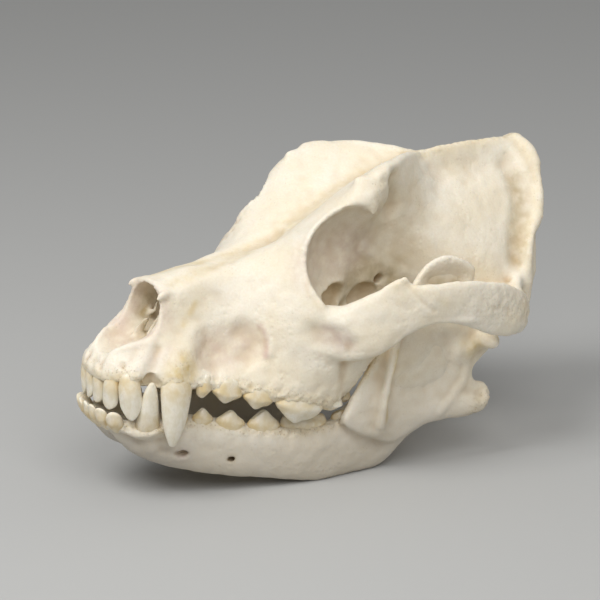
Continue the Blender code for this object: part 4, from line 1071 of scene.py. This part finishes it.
def crown(name, neck, along, axis, length, width, height, cusps, root, ends, edge, grinding=False):
    """One tooth: a root ring, the neck, the belly and the edge, whose height follows the cusps.

    ends is the height of its two ends and edge the length of its edge, as shares of the crown's.
    """
    axis = (axis - along * axis.dot(along)).normalized()
    across = along.cross(axis).normalized()
    side = [(-1.0, ends, 0.0)] + [(u, h, math.sqrt(1 - u * u * 0.85)) for u, h in cusps] + [(1.0, ends, 0.0)]
    back = [(u, h * (INNER_CUSPS if grinding else 1.0), -v) for u, h, v in reversed(side[1:-1])]
    top_width = GRINDING_WIDTH if grinding else SHARP_WIDTH
    levels = ((-root, 0.0, 0.6, 0.55), (0.0, 0.0, 0.98, 0.9), (0.0, 0.28, BELLY, BELLY),
              (0.0, 0.66, (BELLY + edge) / 2, 0.6), (0.0, CUSP_GAIN, edge, top_width))
    rings = []
    reach, spread = ROOM_FOR_ROUNDING * length / 2, ROOM_FOR_ROUNDING * width / 2
    for sunk, rise, long_share, wide_share in levels:
        ring = []
        for u, h, v in side + back:
            place = neck + along * u * long_share * reach + across * v * wide_share * spread
            ring.append(place + axis * (sunk + rise * h * height))
        rings.append(ring)
    return skin_rings(name, rings)


def cheek_teeth(row, teeth, axis, side):
    made = []
    for name, (y, length, width, height, cusps) in teeth.items():
        neck, along = row_place(row, y)
        neck.x, along.x = neck.x * side, along.x * side
        grinding = name in MOLARS
        made.append(crown(name, neck, along, Vector(axis), length, width, height, cusps, CHEEK_ROOT,
                          MOLAR_ENDS if grinding else CHEEK_ENDS, CHEEK_EDGE, grinding))
    return made


def incisors(teeth, side):
    made = []
    for i, (neck, tip, width, thickness) in enumerate(teeth):
        neck, tip = Vector(neck), Vector(tip)
        turn = math.radians(INCISOR_TURNS[i])
        along = Vector((math.cos(turn), math.sin(turn), 0.0))
        neck.x, tip.x, along.x = neck.x * side, tip.x * side, along.x * side
        axis = (tip - neck).normalized()
        along = (along - axis * along.dot(axis)).normalized()
        made.append(crown("incisor", neck, along, axis, width, thickness, (tip - neck).length,
                          INCISOR_CUSPS, INCISOR_ROOT, INCISOR_ENDS[i], INCISOR_EDGE))
    return made


print("a crown reaches", ROOM_FOR_ROUNDING, "times its size before it is rounded")

# %% [markdown]
# The canines are long bent cones, so they are tubes along a curve that thins to the tip. All the teeth of a
# row are gathered in one piece, subdivided twice, and set in the bone with their roots sunk, so that no gap
# shows round their necks.

# %% Canines and rows of teeth
# Root to tip: x, y, z, half width across, half width front to back.
UPPER_CANINE = [
    (23.0, -76.5, 68.0, 2.8, 4.2), (27.0, -82.4, 58.0, 5.0, 7.5), (28.4, -83.8, 50.0, 4.8, 7.0),
    (29.0, -85.0, 42.0, 4.1, 5.9), (29.2, -85.8, 35.0, 3.0, 4.0), (29.0, -86.2, 30.2, 1.5, 1.9),
]
LOWER_CANINE = [
    (14.5, -90.5, 28.0, 2.2, 3.2), (19.0, -93.6, 35.0, 4.2, 5.8), (21.4, -94.4, 42.0, 4.1, 5.2),
    (22.8, -94.2, 50.0, 3.4, 4.2), (23.8, -93.8, 56.0, 2.2, 2.8), (24.2, -93.6, 58.6, 1.2, 1.5),
]
CANINE_GAIN = 1.06
SUBDIVISIONS = 2


def canine(stations, side):
    placed = [(x * side, y, z, wide * CANINE_GAIN, deep * CANINE_GAIN) for x, y, z, wide, deep in stations]
    return tube("canine", placed, up=(0, 1, 0), steps=2, sides=12)


def tooth_row(name, teeth):
    """All the teeth as one piece, with rounded crowns."""
    row = join(name, teeth)
    apply_modifier(row, "SUBSURF", levels=SUBDIVISIONS, render_levels=SUBDIVISIONS)
    row.data.shade_smooth()
    return row


rows = {}
for side, word in ((1, "left"), (-1, "right")):
    rows["upper_cheek_teeth_" + word] = cheek_teeth(UPPER_ROW, UPPER_CHEEK, UPPER_AXIS, side)
    rows["upper_incisors_" + word] = incisors(UPPER_INCISORS, side)
    rows["upper_canine_" + word] = [canine(UPPER_CANINE, side)]
    rows["lower_cheek_teeth_" + word] = cheek_teeth(LOWER_ROW, LOWER_CHEEK, LOWER_AXIS, side)
    rows["lower_incisors_" + word] = incisors(LOWER_INCISORS, side)
    rows["lower_canine_" + word] = [canine(LOWER_CANINE, side)]
rows = {name: tooth_row(name, teeth) for name, teeth in rows.items()}
print(len(rows), "rows of teeth")

# %% [markdown]
# Colour on old bone follows its shape. It is yellow where fat stayed in the seams, at the tooth sockets and
# on the rough edges, and faintly pink where the wall is thin. Brown is painted shade in deep hollows and
# holes, and the pink turns to a mauve painted shade in the hollows of the cheek. Each vertex gets the amounts
# of these as colour channels, and a measure of how far it lies in a hollow, which darkens it as painted
# shade.

# %% Hollows as a measure
HOLLOW_ROUNDS = 14


def hollowness(piece, rounds=HOLLOW_ROUNDS):
    """How deep each vertex lies below the smoothed skin around it, in millimetres."""
    places, normals = co_and_normals(piece)
    return ((evened(piece, places, rounds) - places) * normals).sum(axis=1)


def store(piece, name, channels):
    """Keeps three amounts for each vertex as a colour attribute."""
    values = np.clip(np.stack([*channels, np.ones(len(channels[0]))], axis=1), 0, 1).astype(np.float32)
    layer = piece.data.attributes.new(name, "FLOAT_COLOR", "POINT")
    layer.data.foreach_set("color", values.ravel())


print("a hollow is measured over", HOLLOW_ROUNDS, "rounds of evening")

# %% Places of the stains and the painted shade
# Path, radius in millimetres and amount.
YELLOW_PLACES = [
    (ALVEOLAR_LINE, 6.0, 0.4),
    ([(29, -83, 59), (27.5, -80, 65)], 11.0, 1.15),
    ([(22, -100, 61), (14, -106, 61), (4, -109, 61)], 6.0, 0.75),
    (CREST_LINE, 7.0, 0.4),
    (NUCHAL_RIM, 8.0, 0.3),
    ([(52.3, 21, 62), (52.8, 19.5, 50), (51.5, 18, 38), (48, 18, 27)], 2.8, 0.9),
    ([(16, -66, 90.5), (17.4, -70, 86), (18.5, -74.5, 82)], 2.6, 0.5),
    ([(9.5, -74, 100), (6.5, -58, 102), (4, -44, 104), (2.4, -30, 106.5), (0, -14, 112)], 6.0, 0.35),
    ([(0, -14, 112), (0, 14, 128.5), (0, 36, 136)], 9.0, 0.35),
    ([(34, 2, 125), (36, -12, 116), (37, -18, 105), (41, -20, 97), (47, -18, 90)], 4.0, 0.35),
    ([(64, 11, 99), (66, 18, 100), (68, 24, 96), (70, 34, 88)], 5.0, 0.3),
    ([(62, 86, 76), (58, 91, 68)], 9.0, 0.4),
    (TUBER, 6.0, 0.8),
    ([(33, 24, 141), (37, 18, 130), (38, 17, 124)], 7.0, 0.2),
    (JAW_ALVEOLAR_LINE, 5.0, 0.45),
    (JAW_HOOK_END, 8.0, 0.3),
    ([(46, 64, 57), (52, 64, 57)], 8.0, 0.9),
    ([(44, 12, 56), (46, 20, 70)], 9.0, 0.4),
]
# Painted shade: brown in the eye socket, the grooves, the holes, the nose and the hollows of the jaw.
PAINTED_SHADE_PLACES = [
    ([(20, 10, 85), (18, 25, 88), (20, 36, 86)], 20.0, 0.5),
    ([(38, -10, 100), (30, 4, 105), (24, 20, 105)], 22.0, 0.2),
    (NUCHAL_GROOVE[1:], 7.5, 0.5),
    ([(21, 35, 87)], 4.5, 1.0),
    ([(51, 44, 89), (52, 55, 88)], 8.0, 0.7),
    ([(30, 34, 137), (27, 37, 127)], 9.0, 0.6),
    ([(0, -80, 76), (0, -66, 80)], 20.0, 0.6),
    ([(12, -79, 80), (12, -75, 86)], 5.0, 0.8),
    ([(22.4, -76, 22.4)], 3.5, 0.4),
    ([(30.5, -56.5, 17), (27, -53, 17)], 4.0, 0.9),
    ([(26.5, -94, 59)], 8.0, 0.9),
    ([(56, -9.5, 69.5)], 3.0, 1.0),
    ([(51, 34, 42), (51, 44, 56)], 18.0, 0.15),
]
# Pink of thin bone at the nose and jaw, and mauve painted shade in the cheek hollow and under the cheek arch.
ROSE_AND_SHADE_PLACES = [
    ([(10, -88, 92), (-10, -88, 90), (-12, -92, 84)], 14.0, 0.8),
    ([(30, -40.8, 79), (32.6, -39.6, 73), (34.4, -40.6, 66)], 3.2, 1.0),
    ([(24.4, -78.6, 22.2)], 6.0, 0.7),
    ([(50, -17, 76), (55, -10, 72)], 8.0, 0.6),
    ([(36, -12, 104), (28, 2, 104), (24, 16, 104)], 20.0, 0.5),
    ([(25, -62, 69), (29, -49, 71)], 15.0, 0.55),
    ([(22, -84, 72), (18, -94, 68)], 9.0, 0.3),
    ([(14, -86, 86), (13, -92, 78), (0, -92, 74)], 12.0, 0.6),
    ([(5, -108, 64), (13, -104, 62)], 5.0, 0.3),
]
print(len(YELLOW_PLACES), "yellow,", len(PAINTED_SHADE_PLACES), "brown and", len(ROSE_AND_SHADE_PLACES), "rose places")

# %% [markdown]
# The bones were cut from whole ones. If each were stained and shaded by itself, the cuts would show as lines,
# so every piece takes its stains, its painted shade and the way its skin faces from the whole bone. Only the
# faces of the cuts keep their own direction.

# %% Hand the stains and the painted shade to the cut bones
# The depth in millimetres that counts as a full hollow, where the painted shade is darkest, and the cosine
# below which a face is one of a cut.
HOLLOW_DEPTH = 0.9
CUT_FACE_AGREES = 0.5


def memory_of(whole):
    """The vertices of a whole bone in a tree, which way each faces, its stains and painted shade, and its
    relief.
    """
    places, normals = co_and_normals(whole)
    tree = KDTree(len(places))
    for i, place in enumerate(places):
        tree.insert(place, i)
    tree.balance()
    stains_and_shade = [marked(whole, places_of) for places_of in (YELLOW_PLACES, PAINTED_SHADE_PLACES, ROSE_AND_SHADE_PLACES)]
    # How deep each vertex lies in a hollow, which the bone material darkens as painted shade.
    depth = hollowness(whole) / HOLLOW_DEPTH
    return tree, normals, stains_and_shade, [marked(whole, ROUGH_PLACES + JAW_ROUGH_PLACES), depth, -depth]


def hand_on(memory, part, side=1):
    """Gives a part the stains, the painted shade and the normals of the whole bone it was cut from, so that
    no seam shows.
    """
    tree, normals, stains_and_shade, relief = memory
    turned = np.array((side, 1, 1))
    nearest = np.array([tree.find(place)[1] for place in co_and_normals(part)[0] * turned])
    store(part, "stain_and_shade", [channel[nearest] for channel in stains_and_shade])
    store(part, "relief", [channel[nearest] for channel in relief])
    mesh = part.data
    mesh.shade_smooth()
    corners = np.empty(len(mesh.loops), np.int32)
    mesh.loops.foreach_get("vertex_index", corners)
    sizes = np.empty(len(mesh.polygons), np.int32)
    mesh.polygons.foreach_get("loop_total", sizes)
    flat = np.empty(len(mesh.polygons) * 3)
    mesh.polygons.foreach_get("normal", flat)
    flat = np.repeat(flat.reshape(-1, 3), sizes, axis=0)
    facing = (normals[nearest] * turned)[corners]
    face = np.repeat(np.arange(len(sizes)), sizes)
    cut = ((np.bincount(face, (flat * facing).sum(axis=1)) / sizes) < CUT_FACE_AGREES)[face]
    facing[cut] = flat[cut]
    mesh.normals_split_custom_set(facing.tolist())


cranium_memory, jaw_memory = memory_of(cranium), memory_of(jaw)
for name, bone in bones.items():
    hand_on(jaw_memory if "mandible" in name else cranium_memory, bone, -1 if name == "mandible_right" else 1)
remove([cranium, jaw])
print("stained", len(bones), "bones")

# %% [markdown]
# The crowns are whitest at their tips and yellow at the neck, where the enamel thins out and tartar gathers.
# The distance from the gum line gives that, so each tooth vertex keeps how near it is to the line of necks.
# It also keeps how deep it lies in a hollow, which darkens the crowns between the cusps as painted shade.

# %% Stains and painted shade on the teeth
NECK_LINES = {
    "upper_cheek": UPPER_ROW,
    "lower_cheek": LOWER_ROW,
    "upper_incisors": [row[0] for row in UPPER_INCISORS],
    "lower_incisors": [row[0] for row in LOWER_INCISORS],
    "upper_canine": [UPPER_CANINE[1][:3]],
    "lower_canine": [LOWER_CANINE[1][:3]],
}
NECK_REACH = {"cheek": 8.0, "incisors": 9.0, "canine": 14.0}
TOOTH_ROUNDS = 6

for name, row in rows.items():
    line = next(path for key, path in NECK_LINES.items() if name.startswith(key))
    reach = next(value for key, value in NECK_REACH.items() if key in name)
    near = marked(row, [(line, reach, 1.0)])
    # How deep each vertex lies in a hollow, painted as shade in the enamel.
    depth = hollowness(row, TOOTH_ROUNDS)
    store(row, "stain_and_shade", [near, depth, np.zeros(len(near))])
print("stained", len(rows), "rows")

# %% [markdown]
# Both materials are built from nodes in code. One small helper adds a node with its settings and its links,
# and one turns a colour written as an sRGB hex value into the linear numbers that Blender wants. Patterns are
# sized in millimetres of the bone itself, so that a pore stays a pore however near the camera comes.

# %% Node helpers
def colour(hex_value):
    """An sRGB hex colour as linear red, green, blue and 1."""
    parts = [int(hex_value[i:i + 2], 16) / 255 for i in (1, 3, 5)]
    linear = [c / 12.92 if c <= 0.04045 else ((c + 0.055) / 1.055) ** 2.4 for c in parts]
    return (*linear, 1.0)


def per_size(size):
    """The scale that gives a pattern this size in millimetres."""
    return 1.0 / (size * MM)


def add_node(owner, kind, inputs=None, **settings):
    """Adds a node with its settings and its links, and gives its first output in use."""
    tree = owner.node_tree
    made = tree.nodes.new(kind)
    for key, value in settings.items():
        setattr(made, key, value)
    for key, value in (inputs or {}).items():
        if isinstance(value, bpy.types.NodeSocket):
            tree.links.new(value, made.inputs[key])
        else:
            made.inputs[key].default_value = value
    return next(socket for socket in made.outputs if socket.enabled)


def add_nodes(owner, kind, keys, rows, **settings):
    """Adds a node of one kind for each row, whose values go to the inputs that the keys name."""
    return [add_node(owner, kind, dict(zip(keys, row)), **settings) for row in rows]


print("a pattern of 2 mm has a scale of", round(per_size(2.0)))

# %% Parts that both materials share
# Inputs that rows of values go to: a pattern's, and those that turn one span of values into another.
PATTERN = ("Vector", "Scale", "Detail")
SPAN = ("Value", "From Min", "From Max", "To Min", "To Max")


def channels_of(owner, attribute):
    """The three amounts that the vertices keep under this name."""
    kept = add_node(owner, "ShaderNodeAttribute", attribute_name=attribute)
    apart = add_node(owner, "ShaderNodeSeparateColor", {"Color": kept})
    return [apart.node.outputs[i] for i in range(3)]


def coated(owner, tint, coats):
    """Lays colours over a tint, one by one. Each has an amount, a factor and a hex value."""
    for amount, factor, hue in coats:
        share = add_node(owner, "ShaderNodeMath", {0: amount, 1: factor}, operation="MULTIPLY")
        tint = add_node(owner, "ShaderNodeMix", {0: share, 6: tint, 7: colour(hue)}, data_type="RGBA")
    return tint


def new_material(name, values, radius):
    """A material with set values, into which light sinks this far in millimetres for red, green and blue."""
    material = bpy.data.materials.new(name)
    material.use_nodes = True
    shader = material.node_tree.nodes["Principled BSDF"]
    for key, value in values.items():
        shader.inputs[key].default_value = value
    shader.inputs["Subsurface Radius"].default_value = radius
    return material, shader


def connect(material, shader, tint, roughness, relief, strength):
    """Ends a material: its colour, its roughness and a bump from patterns, each with its height in mm."""
    height = 0.0
    for pattern, share in relief:
        height = add_node(
            material, "ShaderNodeMath", {0: pattern, 1: share, 2: height}, operation="MULTIPLY_ADD")
    bump = add_node(material, "ShaderNodeBump", {"Height": height, "Distance": MM, "Strength": strength})
    for key, value in (("Base Color", tint), ("Roughness", roughness), ("Normal", bump)):
        material.node_tree.links.new(value, shader.inputs[key])


print("ivory is", [round(value, 2) for value in colour("#F0E8D6")])

# %% [markdown]
# The first material is dry cortical bone, boiled and bleached: matt, a little waxy where light enters it, and
# ivory. Noise of several sizes keeps the ivory from looking like paint, the stains of the vertices tint it,
# painted shade darkens its holes and hollows, the underside and the chin are greyer with painted shade, and
# pores show as fine dark dots, most of all on the rough skin. The bump follows the same pores.

# %% Dry bone
BONE = {"IOR": 1.5, "Specular IOR Level": 0.35, "Subsurface Weight": 0.12, "Subsurface Scale": 2.0 * MM}
BONE_BUMP = 0.7


def dry_bone():
    """Ivory, matt and porous, with yellow stains, rose that is partly thin-bone pink and partly painted
    shade, and brown and grey painted shade in the hollows and underneath.
    """
    bone, shader = new_material("dry_bone", BONE, (1.0, 0.7, 0.45))
    place = add_node(bone, "ShaderNodeTexCoord").node.outputs["Object"]
    # Yellow is a stain, the brown is painted shade in holes and hollows, and the rose is partly pink of thin
    # bone and partly painted shade.
    yellow, painted_brown_shade, rose_and_painted_shade = channels_of(bone, "stain_and_shade")
    # deep darkens the hollows as painted shade, and raised lightens raised skin.
    rough, deep, raised = channels_of(bone, "relief")
    wide, patch, fine, region, weather, lump = add_nodes(bone, "ShaderNodeTexNoise", PATTERN, [
        (place, per_size(size), detail)
        for size, detail in ((26.0, 3.0), (5.0, 5.0), (1.1, 4.0), (9.0, 3.0), (17.0, 3.0), (1.7, 2.0))])
    pores, dimples = add_nodes(bone, "ShaderNodeTexVoronoi", PATTERN, [
        (place, per_size(size)) for size in (1.5, 3.2)])
    level = add_node(bone, "ShaderNodeSeparateXYZ", {"Vector": place}).node.outputs
    spans = (
        (wide, 0.35, 0.65, 0.0, 1.0),
        (patch, 0.3, 0.7, 0.35, 1.25),
        (pores, 0.12, 0.34, 1.0, 0.0),
        (region, 0.52, 0.72, 0.06, 0.3),
        (fine, 0.3, 0.7, 0.0, 0.16),
        (fine, 0.3, 0.7, 0.5, 0.66),
        (dimples, 0.0, 0.5, -1.0, 0.0),
        (weather, 0.42, 0.62, 0.03, 0.24),
        # Painted shade on the underside: greyer below 50 mm, most of all at the chin.
        (level["Z"], 10 * MM, 50 * MM, 1.0, 0.0),
        (level["Y"], -105 * MM, -75 * MM, 0.95, 0.5),
    )
    ivory, broken, dots, few, grain, gloss, dimples, worn, painted_low_shade, painted_chin_shade = add_nodes(
        bone, "ShaderNodeMapRange", SPAN, spans, interpolation_type="SMOOTHSTEP")
    more, beads = add_nodes(
        bone, "ShaderNodeMath", (0, 1, 2), ((rough, 0.7, few), (rough, 1.1, 0.0)), operation="MULTIPLY_ADD")
    dots = add_node(bone, "ShaderNodeMath", {0: dots, 1: more}, operation="MULTIPLY")
    tint = coated(bone, colour("#F1E9D8"), (
        (ivory, 1.0, "#EDE2CB"),
        (yellow, broken, "#DCC48B"),
        # Painted shade, brown in holes and hollows.
        (painted_brown_shade, broken, "#A8986A"),
        # Pink of thin bone, and painted shade in the cheek hollows.
        (rose_and_painted_shade, broken, "#D2BAAF"),
        # Painted shade in every hollow.
        (deep, 0.75, "#B08F5F"),
        (raised, 0.25, "#F7F1E4"),
        # Painted shade, grey on the underside and at the chin.
        (painted_low_shade, painted_chin_shade, "#A09A94"),
        (dots, 0.6, "#9A7C55"),
        (grain, 1.0, "#D9C8A6"),
    ))
    relief = ((fine, 0.14), (patch, 0.4), (dimples, worn), (dots, -0.35), (lump, beads))
    connect(bone, shader, tint, gloss, relief, BONE_BUMP)
    return bone


bone_material = dry_bone()
print("made", bone_material.name)

# %% [markdown]
# The second is tooth enamel over dentine: harder and denser than bone, so it is smoother, a little glossy and
# cooler, and light sinks into it. It turns yellow towards the neck, with faint streaks along the crown, and
# its hollows are darkened with painted shade.

# %% Tooth enamel
ENAMEL = {"IOR": 1.6, "Specular IOR Level": 0.4, "Subsurface Weight": 0.2, "Subsurface Scale": 1.5 * MM}
ENAMEL_BUMP = 0.5


def tooth_enamel():
    """Cream white and slightly glossy, yellow at the neck, with painted shade in its hollows."""
    enamel, shader = new_material("tooth_enamel", ENAMEL, (1.0, 0.8, 0.6))
    place = add_node(enamel, "ShaderNodeTexCoord").node.outputs["Object"]
    # near is the yellow of the neck, and deep darkens the hollows as painted shade.
    near, deep = channels_of(enamel, "stain_and_shade")[:2]
    drawn_out = add_node(enamel, "ShaderNodeMapping", {"Vector": place, "Scale": (1.0, 1.0, 0.25)})
    cloud, streak = add_nodes(enamel, "ShaderNodeTexNoise", PATTERN, [
        (place, per_size(4.0), 4.0), (drawn_out, per_size(0.9), 3.0)])
    spans = (
        (cloud, 0.35, 0.65, 0.0, 1.0),
        (cloud, 0.3, 0.7, 0.5, 1.0),
        (streak, 0.4, 0.7, 0.0, 0.12),
        (cloud, 0.3, 0.7, 0.26, 0.38),
    )
    cream, broken, streaks, gloss = add_nodes(
        enamel, "ShaderNodeMapRange", SPAN, spans, interpolation_type="SMOOTHSTEP")
    tint = coated(enamel, colour("#EFE9DA"), (
        (cream, 1.0, "#E6DEC8"),
        (near, broken, "#D9C08A"),
        # Painted shade, tan in the hollows between cusps and teeth.
        (deep, 1.0, "#A98857"),
        (streaks, 1.0, "#CDBB97"),
    ))
    connect(enamel, shader, tint, gloss, ((cloud, 0.12), (streak, 0.04)), ENAMEL_BUMP)
    return enamel


enamel_material = tooth_enamel()
print("made", enamel_material.name)

# %% [markdown]
# Each piece is now moved to the frame's middle, given its material and set to ride on the one body of the
# model. A bone takes the place of its solid, and the teeth ride along.

# %% Finish the pieces
def finish(piece, material):
    piece.data.transform(Matrix.Translation((0, -MIDDLE_Y * MM, 0)))
    piece.data.materials.clear()
    piece.data.materials.append(material)
    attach(piece, "root")


for node, bone in bones.items():
    finish(bone, bone_material)
    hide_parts(node)
for row in rows.values():
    finish(row, enamel_material)
for piece in [*bones.values(), *rows.values()]:
    piece.data.calc_loop_triangles()
    print(piece.name, len(piece.data.loop_triangles), "triangles")

# %% [markdown]
# The studio is a plain grey floor that lets the pale bone stand out, a soft lamp high in front, as a window
# would be, and a larger one from the viewer's side that lights the hollows of the eye and the cheek. A white
# sky fills the rest and is brightest overhead. Soft light suits bone: it shows the relief without glare.

# %% Studio
FLOOR_SIZE = 8.0
FLOOR_HUE = "#B4B4B2"
FLOOR_ROUGHNESS = 0.9
SKY_STRENGTH = 0.5
HORIZON_SHARE = 0.3
# Name, turn and rise about the aim, distance, size and power.
LAMPS = [("window", 14.0, 52.0, 1.3, 0.6, 9.3), ("fill", 72.0, 44.0, 1.6, 1.0, 9.8)]


def studio_floor():
    bm = bmesh.new()
    bmesh.ops.create_grid(bm, x_segments=1, y_segments=1, size=FLOOR_SIZE / 2)
    floor = freed("floor", bm)
    material = bpy.data.materials.new("matt_floor")
    material.use_nodes = True
    shader = material.node_tree.nodes["Principled BSDF"]
    shader.inputs["Base Color"].default_value = colour(FLOOR_HUE)
    shader.inputs["Roughness"].default_value = FLOOR_ROUGHNESS
    floor.data.materials.append(material)


def soft_lamp(name, turn, rise, distance, size, power):
    """A square lamp that looks at the skull."""
    way, across, over = axes_towards(turn, rise)
    lamp = bpy.data.lights.new(name, "AREA")
    lamp.size = size
    lamp.energy = power
    made = linked(name, lamp)
    facing = Matrix((across, over, way)).transposed().to_4x4()
    made.matrix_world = Matrix.Translation(AIM + way * distance) @ facing


def even_sky():
    """A white sky, brightest overhead."""
    sky = bpy.data.worlds.new("sky")
    sky.use_nodes = True
    backdrop = sky.node_tree.nodes["Background"]
    way = add_node(sky, "ShaderNodeTexCoord").node.outputs["Generated"]
    height = add_node(sky, "ShaderNodeSeparateXYZ", {"Vector": way}).node.outputs["Z"]
    ends = (SKY_STRENGTH * HORIZON_SHARE, SKY_STRENGTH)
    strength = add_node(sky, "ShaderNodeMapRange", dict(zip(SPAN, (height, 0.0, 1.0, *ends))),
                        interpolation_type="SMOOTHSTEP")
    sky.node_tree.links.new(strength, backdrop.inputs["Strength"])
    backdrop.inputs["Color"].default_value = colour("#FFFFFF")
    return sky


studio_floor()
for lamp in LAMPS:
    soft_lamp(*lamp)
bpy.context.scene.world = even_sky()
bpy.context.scene.view_settings.view_transform = "Standard"
print("a floor,", len(LAMPS), "lamps and a sky")
